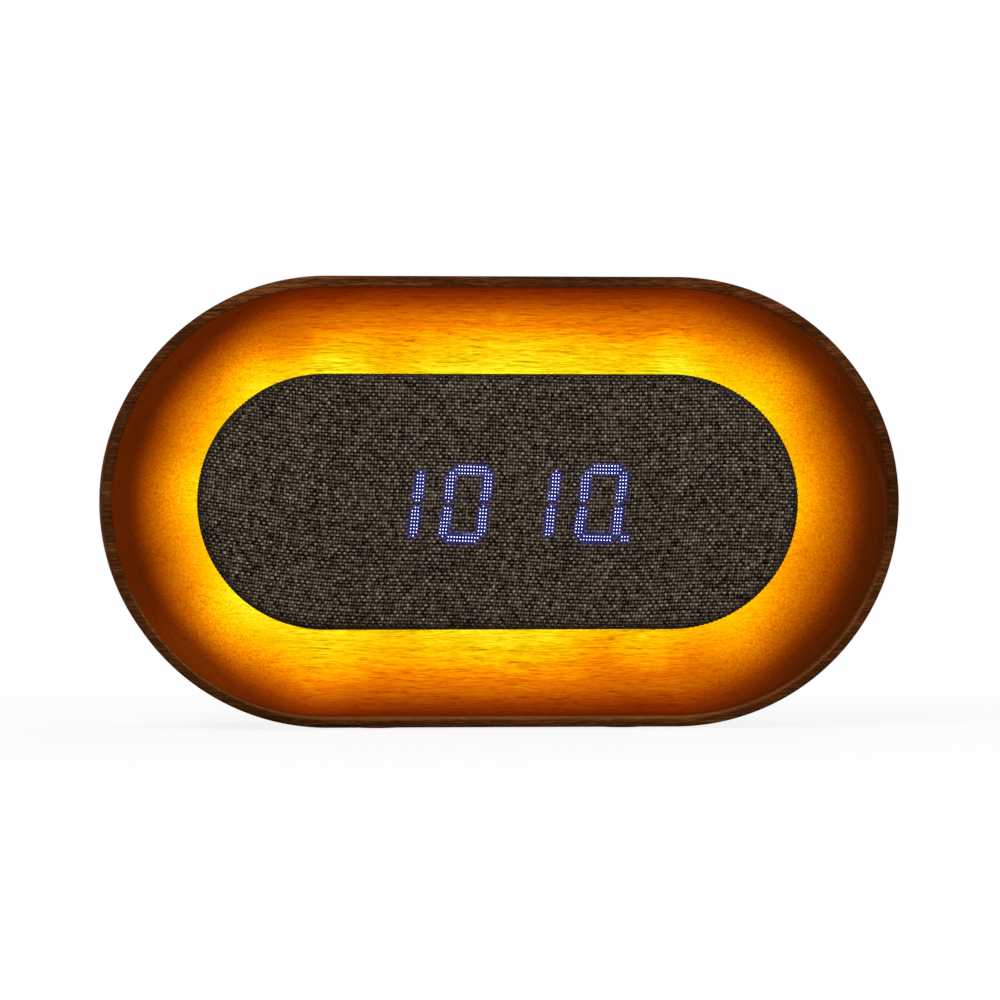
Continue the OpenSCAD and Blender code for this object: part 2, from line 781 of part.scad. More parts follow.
module battery_wires() {
    reach = 3 * wire_bend;
    color([0.12, 0.12, 0.12]) stood_up() for (side = [-1, 1])
        translate([battery_l / 2 + reach, side * 3 * wire_d, 0]) rotate([0, 0, 90])
            bent_wire(board_front_z, battery_z + battery_t / 2, reach);
}

module buzzer() {
    sound_hole_d = buzzer_d / 5;
    top_z = cover_in_z + buzzer_gap;
    color([0.06, 0.06, 0.06]) stood_up() translate(buzzer_at) difference() {
        peg(buzzer_d, top_z, board_z);
        blind(sound_hole_d, top_z, (top_z + board_z) / 2);
    }
}

module usb_shell() {
    color([0.75, 0.75, 0.77]) stood_up() translate(socket_at) difference() {
        translate([0, 0, cover_z]) linear_extrude(board_z - cover_z) socket_outline(0);
        translate([0, 0, cover_z - cut_past]) linear_extrude(board_z - socket_floor - cover_z + cut_past)
            socket_outline(-socket_wall);
    }
}

module usb_tongue() {
    color([0.05, 0.05, 0.05]) stood_up() translate(socket_at)
        block(tongue_size, cover_z + tongue_depth, board_z - socket_floor);
}

// A button's marks are cut into its cap: a dot, a plus, a minus and a ring
module button_mark(i) {
    bar = [button_d * 0.42, button_d * 0.11];
    if (i == 0) circle(d = button_d * 0.2);
    if (i == 1) square([bar.y, bar.x], center = true);
    if (i == 1 || i == 2) square(bar, center = true);
    if (i == 3) difference() {
        circle(d = bar.x);
        circle(d = bar.x - 2 * bar.y);
    }
}

module button(i) {
    color([0.20, 0.19, 0.19]) stood_up() translate([button_x[i], button_y, 0]) difference() {
        union() {
            translate([0, 0, cap_z]) cylinder(d1 = button_d - 2 * cap_bevel, d2 = button_d, h = cap_bevel);
            peg(button_d, cap_z + cap_bevel, button_flange_z);
            peg(button_d + 2 * button_flange_w, button_flange_z, button_stem_z);
            peg(button_stem_d, button_stem_z, plunger_z);
        }
        translate([0, 0, cap_z - cut_past]) linear_extrude(mark_depth + cut_past) button_mark(i);
    }
}

module plunger(i) {
    color([0.85, 0.85, 0.80]) stood_up() translate([button_x[i], button_y, 0])
        peg(plunger_d, plunger_z, plunger_z + plunger_l);
}

module push_switches() {
    side = push_switch_w;
    depth = plunger_z + plunger_l + button_travel + seat_gap - push_switch_z;
    color([0.10, 0.10, 0.11]) stood_up() for (x = button_x) translate([x, button_y, 0]) difference() {
        block([side, side], push_switch_z, board_z);
        blind(plunger_d + 2 * slip_gap, push_switch_z, push_switch_z + depth);
    }
}

module slide_switch_case() {
    cavity = [slider_size.x + slide_travel + 2 * cap_gap, slider_size.y + 2 * cap_gap];
    slot = [slide_neck.x + slide_travel + 2 * cap_gap, slide_neck.y + 2 * cap_gap];
    color([0.75, 0.75, 0.77]) stood_up() translate(slide_at) difference() {
        block(slide_case, slide_case_z, board_z);
        block(cavity, slide_case_z + slide_lid_t, slider_z + slider_size.z + air_gap);
        block(slot, slide_case_z - cut_past, slide_case_z + slide_lid_t + cut_past);
    }
}

// The knob rests at the left end of its travel, seen from the front
module slide_switch_knob() {
    knob_end_z = cover_in_z + air_gap;
    groove = [slide_knob.x / 8, slide_knob.y + 2 * cut_past];
    rest_at = [slide_at.x - slide_travel / 2, slide_at.y, 0];
    color([0.20, 0.19, 0.19]) stood_up() translate(rest_at) difference() {
        union() {
            block(slide_knob, cap_z, knob_end_z);
            block(slide_neck, knob_end_z, slider_z);
            block(slider_size, slider_z, slider_z + slider_size.z);
        }
        for (i = [-1:1]) translate([i * 2 * groove.x, 0, 0])
            block(groove, cap_z - cut_past, cap_z + mark_depth);
    }
}

wood_shell();
feet();
rear_cover();
cover_screws();
light_core();
core_gasket();
core_screws();
backlight_strip();
backlight_leds();
diffuser_band();
backlight_wires();
front_panel();
panel_screws();
fabric_cover();
display_housing();
digit(0);  // digit_1
digit(1);  // digit_2
digit(2);  // digit_3
digit(3);  // digit_4
display_leds();
display_board();
display_driver();
display_screws();
display_ribbon();
ribbon_connectors();
main_board();
board_screws();
control_chip();
crystal();
capacitors();
battery();
battery_pad();
battery_wires();
buzzer();
usb_shell();
usb_tongue();
button(0);  // button_set
button(1);  // button_up
button(2);  // button_down
button(3);  // button_light
plunger(0);  // plunger_set
plunger(1);  // plunger_up
plunger(2);  // plunger_down
plunger(3);  // plunger_light
push_switches();
slide_switch_case();
slide_switch_knob();
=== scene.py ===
# %% [markdown]
# # A digital alarm clock in a wooden dish
# The clock is a round-ended walnut dish with a cloth-covered panel that floats over a glowing cove.
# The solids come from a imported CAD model, which is the fixed frame of this lesson. Each cell adds one
# thing on top of it: a piece that solids can't give, such as woven cloth, or the finish of a piece.

import json
import math

import bpy
import numpy as np
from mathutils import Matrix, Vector


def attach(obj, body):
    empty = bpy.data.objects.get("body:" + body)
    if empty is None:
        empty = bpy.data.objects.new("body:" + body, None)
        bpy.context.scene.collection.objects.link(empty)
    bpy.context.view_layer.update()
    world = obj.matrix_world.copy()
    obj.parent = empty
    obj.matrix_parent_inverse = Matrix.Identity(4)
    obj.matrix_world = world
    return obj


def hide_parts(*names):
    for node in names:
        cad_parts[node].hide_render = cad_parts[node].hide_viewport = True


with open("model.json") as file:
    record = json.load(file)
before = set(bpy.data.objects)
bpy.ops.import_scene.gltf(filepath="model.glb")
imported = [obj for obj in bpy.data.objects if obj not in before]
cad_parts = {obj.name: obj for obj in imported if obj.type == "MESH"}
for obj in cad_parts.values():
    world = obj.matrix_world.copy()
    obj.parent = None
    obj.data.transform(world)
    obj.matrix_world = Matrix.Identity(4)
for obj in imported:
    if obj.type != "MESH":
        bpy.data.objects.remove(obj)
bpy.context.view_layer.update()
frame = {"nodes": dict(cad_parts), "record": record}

# %% [markdown]
# ## Sizes
# All sizes are in millimetres and have the names that a maker would use. The clock's own frame has x to
# the right, y up from the middle of the face and z forward from the back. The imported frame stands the
# clock on the floor, so one function moves points from the first to the second, in metres.

# %% Sizes of the clock
MM = 0.001
HALF_STRAIGHT = 44.0
BODY_R = 56.75
BODY_D = 56.0
CENTRE_HEIGHT = 57.15
COVE_WALL_R = 54.05
COVE_FLOOR_R = 31.0
FLOOR_Z = 24.0
COVE_R = COVE_WALL_R - COVE_FLOOR_R


def stand(x, y, z):
    """Points of the clock's own frame, in mm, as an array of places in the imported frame, in metres."""
    x, y, z = np.broadcast_arrays(x, y, z)
    return np.stack([x, BODY_D / 2 - z, y + CENTRE_HEIGHT], -1) * MM


print("face middle stands at", stand(0.0, 0.0, BODY_D).round(4))

# %% [markdown]
# ## Writing shader maths as Python
# A material is a tree of nodes, and long trees are hard to read as lists of links. The class Field wraps
# one socket, so that ordinary Python arithmetic on it adds the Math nodes. The class Finish holds one
# material, and its node method makes any other node from a type, its settings and its sockets.


# %% Fields and finishes
class Field:
    """One socket of a finish, which can be used in an expression."""

    def __init__(self, finish, socket):
        self.finish = finish
        self.socket = socket

    def math(self, operation, *values):
        return self.finish.node("ShaderNodeMath", {"operation": operation}, dict(enumerate(values)))

    def __add__(self, other):
        return self.math("ADD", self, other)

    def __sub__(self, other):
        return self.math("SUBTRACT", self, other)

    def __rsub__(self, other):
        return self.math("SUBTRACT", other, self)

    def __mul__(self, other):
        return self.math("MULTIPLY", self, other)

    def __truediv__(self, other):
        return self.math("DIVIDE", self, other)

    def __pow__(self, other):
        return self.math("POWER", self, other)

    def __abs__(self):
        return self.math("ABSOLUTE", self)

    def __lt__(self, other):
        return self.math("LESS_THAN", self, other)

    def __gt__(self, other):
        return self.math("GREATER_THAN", self, other)

    def at_least(self, other):
        return self.math("MAXIMUM", self, other)

    def at_most(self, other):
        return self.math("MINIMUM", self, other)

    def sine(self):
        return self.math("SINE", self)

    def bell(self, width):
        """1 where this field is 0, falling smoothly to nothing a few widths away."""
        return self.math("EXPONENT", (self / width) ** 2 * -1)

    def step(self, low, high, to_low=0.0, to_high=1.0):
        """A smooth step from to_low, at low, to to_high, at high."""
        settings = {"interpolation_type": "SMOOTHSTEP"}
        ends = {"Value": self, "From Min": low, "From Max": high, "To Min": to_low, "To Max": to_high}
        return self.finish.node("ShaderNodeMapRange", settings, ends)

    __radd__ = __add__


class Finish:
    """A material under construction. The world is built in the same way, from its own library."""

    def __init__(self, name, library=bpy.data.materials):
        self.material = library.new(name)
        self.material.use_nodes = True
        self.tree = self.material.node_tree
        self.tree.nodes.clear()

    def plug(self, socket, value):
        if isinstance(value, Field):
            self.tree.links.new(value.socket, socket)
        else:
            socket.default_value = value

    def node(self, kind, settings=None, inputs=None, output=0):
        made = self.tree.nodes.new(kind)
        for name, value in (settings or {}).items():
            if name == "stops":
                self.set_stops(made.color_ramp, value)
            else:
                setattr(made, name, value)
        for name, value in (inputs or {}).items():
            self.plug(made.inputs[name], value)
        return Field(self, made.outputs[output]) if made.outputs else None

    def set_stops(self, ramp, stops):
        while len(ramp.elements) < len(stops):
            ramp.elements.new(1.0)
        for element, (position, colour) in zip(ramp.elements, stops):
            element.position = position
            element.color = (*colour, 1.0)

    def place(self):
        """The object's own coordinates in mm, the same at every pose."""
        found = self.node("ShaderNodeTexCoord", output="Object")
        return self.node("ShaderNodeVectorMath", {"operation": "SCALE"}, {0: found, "Scale": 1 / MM})

    def split(self, vector):
        made = self.node("ShaderNodeSeparateXYZ", inputs={0: vector}).socket.node
        return [Field(self, socket) for socket in made.outputs]

    def join(self, x, y, z):
        return self.node("ShaderNodeCombineXYZ", inputs={0: x, 1: y, 2: z})

    def stretch(self, vector, factors):
        return self.node("ShaderNodeVectorMath", {"operation": "MULTIPLY"}, {0: vector, 1: factors})

    def noise(self, vector, factors, detail=3.0, roughness=0.55, distortion=0.0):
        """Noise with one cycle in 1 / factor mm each way."""
        inputs = {"Vector": self.stretch(vector, factors), "Scale": 1.0, "Detail": detail}
        inputs.update({"Roughness": roughness, "Distortion": distortion})
        return self.node("ShaderNodeTexNoise", None, inputs, "Fac")

    def ramp(self, field, stops):
        return self.node("ShaderNodeValToRGB", {"stops": stops}, {"Fac": field})

    def mix(self, factor, a, b):
        a = a if isinstance(a, Field) else (*a, 1.0)
        b = b if isinstance(b, Field) else (*b, 1.0)
        return self.node("ShaderNodeMix", {"data_type": "RGBA"}, {0: factor, 6: a, 7: b}, 2)

    def colour(self, red, green, blue):
        return self.node("ShaderNodeCombineColor", inputs={0: red, 1: green, 2: blue})

    def attribute(self, name):
        return self.node("ShaderNodeAttribute", {"attribute_name": name}, output="Fac")

    def bump(self, height, distance_mm):
        inputs = {"Height": height, "Distance": distance_mm * MM, "Strength": 1.0}
        return self.node("ShaderNodeBump", None, inputs)

    def surface(self, **sockets):
        """Ends the finish in one Principled shader. A socket's name is written with underscores."""
        named = {name.replace("_", " "): value for name, value in sockets.items()}
        for name, value in named.items():
            if isinstance(value, tuple):
                named[name] = (*value, 1.0)
        shader = self.node("ShaderNodeBsdfPrincipled", None, named)
        self.node("ShaderNodeOutputMaterial", None, {"Surface": shader})
        return self.material


def linear(red, green, blue):
    """A colour written as it shows on a screen, 0 to 255, as the linear values that shaders use."""
    screen = [channel / 255 for channel in (red, green, blue)]
    return tuple(c / 12.92 if c <= 0.04045 else ((c + 0.055) / 1.055) ** 2.4 for c in screen)


BLACK = (0, 0, 0)
WHITE = (1, 1, 1, 1)
print("walnut's mid brown in linear values:", [round(c, 4) for c in linear(80, 42, 17)])

# %% [markdown]
# ## Camera
# The picture was taken from nearly straight ahead, a few degrees to the left, so the panel seems to sit
# a little left of the rim. The lens follows from the distance and the size of a pixel on the rim, so
# that changing the distance changes only the perspective.

# %% Camera
VIEW_DISTANCE = 1.3
VIEW_TURN = math.radians(5.0)
PIXEL = 0.2515 * MM
PICTURE_WIDTH = 1000
SENSOR = 36.0
NEAREST_SEEN = 0.01
AIM_ASIDE = -0.75
AIM_ABOVE = 0.43

aim = Vector((AIM_ASIDE, -BODY_D / 2, CENTRE_HEIGHT + AIM_ABOVE)) * MM
toward = Vector((-math.sin(VIEW_TURN), -math.cos(VIEW_TURN), 0.0))
camera_data = bpy.data.cameras.new("camera")
camera_data.sensor_width = SENSOR
camera_data.lens = SENSOR * VIEW_DISTANCE / (PICTURE_WIDTH * PIXEL)
camera_data.clip_start = NEAREST_SEEN
camera = bpy.data.objects.new("camera", camera_data)
camera.location = aim + toward * VIEW_DISTANCE
camera.rotation_euler = (aim - camera.location).to_track_quat("-Z", "Y").to_euler()
bpy.context.scene.collection.objects.link(camera)
bpy.context.scene.camera = camera
print("camera lens in mm:", round(camera_data.lens, 1))

# %% [markdown]
# ## Studio
# A white floor and a white surround, both seen as white by the camera and in reflections. They light the
# clock only at a plain level, and soft lamps give its edges some shape. The floor keeps a share of
# ordinary shading, so that the clock's shadow still shows, and it is clear from below, so that the feet
# can be seen.

# %% Studio
SURROUND_LEVEL = 0.4
PAPER_GREY = (0.9, 0.9, 0.9, 1)
SHADOW_SHARE = 0.12
SHADOW_NEAR = 120.0
SHADOW_FAR = 420.0
FLOOR_REACH = 6.0
FLOOR_AT = -0.1 * MM

bpy.context.scene.view_settings.view_transform = "Standard"


def seen_directly(finish):
    """1 for rays from the camera, and for those that reflections and clear pieces pass on."""
    path = finish.node("ShaderNodeLightPath").socket.node
    seen = Field(finish, path.outputs["Is Camera Ray"])
    for kind in ("Glossy", "Transmission"):
        seen = seen.at_least(Field(finish, path.outputs[f"Is {kind} Ray"]))
    return seen


surround = Finish("white_surround", bpy.data.worlds)
seen = seen_directly(surround)
strength = seen + (1 - seen) * SURROUND_LEVEL
white_light = surround.node("ShaderNodeBackground", None, {"Color": WHITE, "Strength": strength})
surround.node("ShaderNodeOutputWorld", None, {"Surface": white_light})
bpy.context.scene.world = surround.material

paper = Finish("white_floor")
matt = paper.node("ShaderNodeBsdfDiffuse", None, {"Color": PAPER_GREY})
shine = paper.node("ShaderNodeEmission", None, {"Color": WHITE, "Strength": 1.0})
away = paper.node("ShaderNodeVectorMath", {"operation": "LENGTH"}, {0: paper.place()}, "Value")
share = seen_directly(paper) * (1 - away.step(SHADOW_NEAR, SHADOW_FAR, SHADOW_SHARE, 0.0))
lit_paper = paper.node("ShaderNodeMixShader", None, {0: share, 1: matt, 2: shine})
underside = paper.node("ShaderNodeNewGeometry", output="Backfacing")
clear = paper.node("ShaderNodeBsdfTransparent")
one_sided = paper.node("ShaderNodeMixShader", None, {0: underside, 1: lit_paper, 2: clear})
paper.node("ShaderNodeOutputMaterial", None, {"Surface": one_sided})

floor_mesh = bpy.data.meshes.new("floor")
signs = [(-1, -1), (1, -1), (1, 1), (-1, 1)]
corners = [(side * FLOOR_REACH, end * FLOOR_REACH, FLOOR_AT) for side, end in signs]
floor_mesh.from_pydata(corners, [], [(0, 1, 2, 3)])
floor_mesh.materials.append(paper.material)
floor = bpy.data.objects.new("floor", floor_mesh)
bpy.context.scene.collection.objects.link(floor)


def soft_lamp(name, place, size, power):
    """A square lamp that faces the middle of the clock."""
    data = bpy.data.lights.new(name, "AREA")
    data.size = size
    data.energy = power
    lamp = bpy.data.objects.new(name, data)
    lamp.location = place
    middle = Vector((0, 0, CENTRE_HEIGHT * MM))
    lamp.rotation_euler = (middle - lamp.location).to_track_quat("-Z", "Y").to_euler()
    bpy.context.scene.collection.objects.link(lamp)


soft_lamp("key_lamp", place=(-0.7, -1.0, 1.1), size=0.7, power=12.0)
soft_lamp("fill_lamp", place=(0.9, -0.9, 0.6), size=0.8, power=4.0)
soft_lamp("back_lamp", place=(0.5, 1.2, 0.9), size=0.8, power=8.0)
print("studio: surround level", SURROUND_LEVEL)

# %% [markdown]
# ## Walnut
# The dish is cut from one block, so its grain runs through it: long streaks along x on the top and
# bottom, and speckled end grain where it turns round the ends. A pattern in three dimensions gives both
# from one rule, with no unwrapping. Growth rings lie round the pith, a line behind and below the clock.
# Noise that is stretched along x makes lines, fibres and fine threads, noise that isn't makes flecks,
# and sharp noise makes the short dark pores and vessels. A few broad patches of the rim are paler at the
# top and darker at the lower left and at the right end; the darker one at the lower left is painted
# shade, as less light falls on the bottom.

# %% Grain of the walnut
PITH_DEPTH = 190.0
PITH_UP = -90.0
# Cycles in a mm of each layer of noise, along the clock, into it and up it.
SWAY_CYCLES = (0.012, 0.03, 0.03)
BAND_CYCLES = (0.004, 0.26, 1.0)
LINE_CYCLES = (0.014, 1.3, 1.7)
FIBRE_CYCLES = (0.08, 0.6, 1.5)
THREAD_CYCLES = (0.32, 1.5, 3.4)
FLECK_CYCLES = (1.9, 1.7, 1.9)
PORE_CYCLES = (0.15, 1.2, 2.8)
VESSEL_CYCLES = (0.08, 2.6, 2.8)
# How far the sway moves the layers and the rings, in mm.
SWAY_IN = 6.0
SWAY_UP = 9.0
SWAY_RINGS = 14.0
# The levels of noise between which pores and vessels begin.
PORE_EDGE = (0.58, 0.67)
VESSEL_EDGE = (0.59, 0.68)
# Where the rim begins, counted forward, and where the ends and the turn of the grain do, along x.
RIM_STARTS = (54.5, 55.3)
ENDS_START = (40.0, 80.0)
TURN_STARTS = (44.0, 64.0)
# How strongly each layer shows in the tone.
BANDS_LOST_ON_RIM = 0.45
LINE_SHARE = 0.8
FIBRE_SHARE = 0.3
THREAD_SHARE = 0.25
RIM_THREAD_SHARE = 0.9
VESSEL_SHARE = 0.65
# Each patch is a place x and y, its reach and its gain.
RIM_TONE_AND_SHADE_PATCHES = [(-50.0, 50.0, 26.0, 0.20), (48.0, 51.0, 22.0, 0.15), (-55.0, -48.0, 24.0, -0.13),
               (98.0, 10.0, 20.0, -0.09)]
WALNUT_BROWNS = [(0.15, linear(34, 15, 4)), (0.42, linear(64, 31, 10)),
                 (0.60, linear(82, 42, 15)), (0.85, linear(118, 70, 34))]
VESSEL_BROWN = linear(30, 13, 4)


def off_middle(x, up):
    """How far a place lies from the clock's middle line, which stops where the round ends begin."""
    return ((abs(x) - HALF_STRAIGHT).at_least(0.0) ** 2 + up ** 2) ** 0.5


def spread(x, up, patches, start):
    """A field that is start everywhere, plus the gain of each patch round its place."""
    total = start
    for patch_x, patch_y, reach, gain in patches:
        away = ((x - patch_x) ** 2 + (up - patch_y) ** 2) ** 0.5
        total = away.bell(reach) * gain + total
    return total


walnut = Finish("oiled_walnut")
spot = walnut.place()
x, depth, height = walnut.split(spot)
front = BODY_D / 2 - depth
up = height - CENTRE_HEIGHT
across = off_middle(x, up)

sway = walnut.noise(spot, SWAY_CYCLES, detail=2.0)
swayed = walnut.join(x, depth + sway * SWAY_IN, height + sway * SWAY_UP)
rings = ((depth - PITH_DEPTH) ** 2 + (up - PITH_UP) ** 2) ** 0.5 + sway * SWAY_RINGS
bands = walnut.noise(walnut.join(x, rings, 0.0), BAND_CYCLES, detail=3.0, roughness=0.5) - 0.5
lines = walnut.noise(swayed, LINE_CYCLES, detail=4.0, roughness=0.6) - 0.5
fibres = walnut.noise(swayed, FIBRE_CYCLES, detail=4.0, roughness=0.6) - 0.5
threads = walnut.noise(swayed, THREAD_CYCLES, detail=3.0, roughness=0.65) - 0.5
flecks = walnut.noise(swayed, FLECK_CYCLES, detail=2.0) - 0.5
pores = walnut.noise(swayed, PORE_CYCLES, detail=2.0, roughness=0.5).step(*PORE_EDGE)
vessels = walnut.noise(swayed, VESSEL_CYCLES, detail=2.0, roughness=0.5).step(*VESSEL_EDGE)
rim = front.step(*RIM_STARTS)
endness = abs(x).step(*ENDS_START)
turning = abs(x).step(*TURN_STARTS)
tone = bands * (1 - rim * BANDS_LOST_ON_RIM) + lines * LINE_SHARE + fibres * FIBRE_SHARE
tone = tone + threads * (rim * RIM_THREAD_SHARE + THREAD_SHARE)
# broad patches on the rim: the darker one at the lower left is painted shade
tone = tone + spread(x, up, RIM_TONE_AND_SHADE_PATCHES, 0.0) * rim
brown = walnut.ramp(tone + 0.5, WALNUT_BROWNS)
brown = walnut.mix(vessels * VESSEL_SHARE, brown, VESSEL_BROWN)
print("grain:", len(walnut.tree.nodes), "nodes")

# %% [markdown]
# The cove is lit by a strip of lamps behind the panel. That light is painted into the finish as
# emission, because it belongs to the surface and stays with it in any viewer: bright yellow beside the
# panel, through orange to red brown at the rim. Two curves say how it falls off across the cove, one for
# the straight sides and one for the round ends. Some brighter pools lie beside the lamps, with dimmer
# gaps between them. All of it is multiplied by the grain, as light on wood is: streaks on the straight
# sides, which give way to flecks of end grain round the ends. Below, the lip of the rim catches a thin
# line of it too.

# %% Light in the cove
GLOW_SCALE = 2.2
# Each curve gives the light at shares of the way from the core to the wall.
ON_STRAIGHTS = [(0.10, 1.74), (0.20, 1.64), (0.30, 1.48), (0.40, 1.34), (0.50, 1.12), (0.60, 0.92),
                (0.70, 0.75), (0.79, 0.55), (0.86, 0.38), (0.92, 0.26), (0.99, 0.15)]
ON_ENDS = [(0.08, 1.40), (0.20, 1.20), (0.30, 1.03), (0.40, 0.86), (0.50, 0.68), (0.60, 0.50),
           (0.67, 0.38), (0.74, 0.25), (0.80, 0.155), (0.88, 0.085), (0.99, 0.055)]
# Each pool or gap is a place x and y, its reach and its gain.
POOLS = [(-40.0, 34.0, 8.0, 0.20), (4.0, 36.0, 16.0, 0.16), (47.0, 34.0, 8.0, 0.24),
         (-78.0, 3.0, 7.0, 0.28), (-66.0, -26.0, 9.0, 0.40), (-62.0, 31.0, 8.0, 0.28),
         (4.0, -37.0, 15.0, 0.06), (78.0, 0.0, 7.0, 0.14), (69.0, 22.0, 8.0, 0.22),
         (76.0, 35.0, 9.0, 0.42), (-74.0, -36.0, 9.0, 0.38), (68.0, -41.0, 8.0, 0.18),
         (-69.0, -45.0, 9.0, 0.36), (-48.0, -50.0, 11.0, 0.26), (84.0, 35.0, 8.0, 0.30),
         (70.0, 45.0, 8.0, 0.22), (-84.0, -34.0, 7.0, 0.30)]
GAPS = [(28.0, -37.0, 9.0, -0.25), (-28.0, 37.0, 7.0, -0.15), (-26.0, -36.0, 8.0, -0.14),
        (-52.0, 41.0, 8.0, -0.26), (51.0, -39.0, 10.0, -0.26), (80.0, -14.0, 13.0, -0.14),
        (39.0, 41.0, 7.0, -0.14), (-87.0, 16.0, 6.0, -0.20), (-87.0, -15.0, 6.0, -0.16),
        (-42.0, 50.5, 7.0, -0.17), (36.0, -50.5, 8.0, -0.16)]
# At the left end the light keeps further in, and at the right end it reaches further out, by these mm.
LOPSIDED = (-1.3, 0.8)
LOPSIDED_X = 70.0
# The least light at the left and at the right.
LEAST_LIGHT = (0.10, 0.042)
LEAST_X = 60.0
# The lit wood stops at the wall, between these distances from it, and at the floor of the cove.
WALL_EDGE = (-0.15, 0.1)
FLOOR_EDGE = 2.0
# How strongly the grain shows in the light.
LIT_BANDS = 0.4
LIT_FIBRES = 0.9
LIT_THREADS = 1.4
LIT_PORES = 0.27
LIT_MEAN = 1.03
STREAKS_LOST_AT_ENDS = 0.65
STRAIGHT_FLECKS = 0.35
FLECK_LIGHT = (0.5, 1.4)
FLECK_GAIN = (1.15, 0.55)
# The green and blue of the light, which is redder where it is dim.
RED_LIGHT = (0.75, 1.4)
REDDER = 0.24
REDDER_LOST_AT_ENDS = 0.14
GREEN_POWER = 1.37
GREEN_DIM_POWER = 0.23
GREEN_SHARE = 0.315
GREEN_AT_ENDS = 0.005
BLUE_LIGHT = (1.6, 2.3)
BLUE_SHARE = 0.02
# The thin line of light on the lip of the rim.
LIP_OUT = 0.25
LIP_W = 0.5
END_LIP_W = 0.28
LIP_FLECKS = 2.6
LIP_MEAN = 0.75
LIP_FRONT = (52.0, 54.5)
LIP_BELOW = (-30.0, -15.0)
LIP_COLOUR = (0.11, 0.04, 0.01)

lopsided = x.step(-LOPSIDED_X, LOPSIDED_X, *LOPSIDED) * endness
way_out = (across - COVE_FLOOR_R - lopsided) / COVE_R


def light_curve(curve):
    """The fall-off across the cove, 0 beside the core and 1 at the wall."""
    return walnut.ramp(way_out, [(place, (light / GLOW_SCALE,) * 3) for place, light in curve])


level = light_curve(ON_STRAIGHTS) * (1 - endness) + light_curve(ON_ENDS) * endness
level = (level * GLOW_SCALE).at_least(x.step(-LEAST_X, LEAST_X, *LEAST_LIGHT))
pooled = spread(x, up, POOLS + GAPS, 1.0)
inside = across.step(COVE_WALL_R + WALL_EDGE[0], COVE_WALL_R + WALL_EDGE[1], 1.0, 0.0)
inside = inside * front.step(FLOOR_Z - FLOOR_EDGE, FLOOR_Z)
streaks = bands * LIT_BANDS + fibres * LIT_FIBRES + threads * LIT_THREADS - pores * LIT_PORES
streaks = streaks * (1 - turning * STREAKS_LOST_AT_ENDS)
speckle = flecks * (turning + STRAIGHT_FLECKS) * level.step(*FLECK_LIGHT, *FLECK_GAIN)
shading = streaks + speckle + LIT_MEAN
glow = (level * pooled * shading * inside).at_least(0.0)
red = (level * pooled).at_most(1.0) * (shading * inside).at_least(0.0).at_most(1.0)
redder = (1 - glow.step(*RED_LIGHT)) * (REDDER - endness * REDDER_LOST_AT_ENDS)
green = glow ** GREEN_POWER * glow.at_most(1.0) ** GREEN_DIM_POWER * GREEN_SHARE * (1 - redder)
green = (green + endness * inside * GREEN_AT_ENDS).at_most(1.0)
blue = glow.step(*BLUE_LIGHT, 0.0, BLUE_SHARE)
beside = across - COVE_WALL_R - LIP_OUT
speckled_lip = beside.bell(END_LIP_W) * turning * (flecks * LIP_FLECKS + LIP_MEAN).at_least(0.0)
lip = beside.bell(LIP_W) * (1 - turning) + speckled_lip
lip = lip * front.step(*LIP_FRONT) * up.step(*LIP_BELOW, 1.0, 0.0)
lit = walnut.colour(*[hue + lip * share for hue, share in zip((red, green, blue), LIP_COLOUR)])
print("light:", len(POOLS), "pools of lamplight and", len(GAPS), "gaps")

# %% [markdown]
# In the cove the wood's body colour is darkened towards a deep brown as painted shade, so that its
# painted glow alone shows there. Outside it is oiled, with a faint coat that is left off the cove.

# %% Walnut finish
COVE_SHADE = linear(26, 9, 2)
COVE_SHADE_SHARE = 0.8
LINE_RELIEF = 0.4
THREAD_RELIEF = 0.3
VESSEL_RELIEF = -0.6
GRAIN_RELIEF = 0.05
COAT_FRONT = (50.0, 56.0)
COAT_WEIGHTS = (0.08, 0.03)

# painted shade: the wood's body colour in the cove is darkened
shaded = walnut.mix(inside * COVE_SHADE_SHARE, brown, COVE_SHADE)
relief = lines * LINE_RELIEF + threads * THREAD_RELIEF + vessels * VESSEL_RELIEF
walnut_finish = walnut.surface(
    Base_Color=shaded, Roughness=0.5 + fibres * 0.3, Emission_Color=lit, Emission_Strength=1.0,
    Normal=walnut.bump(relief, GRAIN_RELIEF), Specular_IOR_Level=0.0, Coat_Roughness=0.4,
    Coat_Weight=(1 - inside) * front.step(*COAT_FRONT, *COAT_WEIGHTS))
print("walnut:", len(walnut.tree.nodes), "nodes")

# %% [markdown]
# ## The wooden dish
# A round-ended dish is one outline carried round one path, so it is a sweep. The outline is a chain of
# points: web, rear pocket, ledge for the cover, rounded back, side, rim and cove.

# %% Outline of the dish
PATH_R = 45.0
WEB_HOLE_R = 17.5
WEB_Z = 18.0
POCKET_R = 38.75
REBATE_R = 46.75
REBATE_CHAMFER = 0.25
LEDGE_Z = 4.0
BACK_ROUND = 4.0
RIM_ROUND = 0.8
BACK_STEPS = 10
RIM_STEPS = 6
COVE_STEPS = 36


def turn(middle_r, middle_z, radius, start, end, steps):
    """Points of an arc in the outline, with angles in degrees from outward to forward."""
    angles = np.radians(np.linspace(start, end, steps + 1))
    return [(middle_r + radius * math.cos(a), middle_z + radius * math.sin(a)) for a in angles]


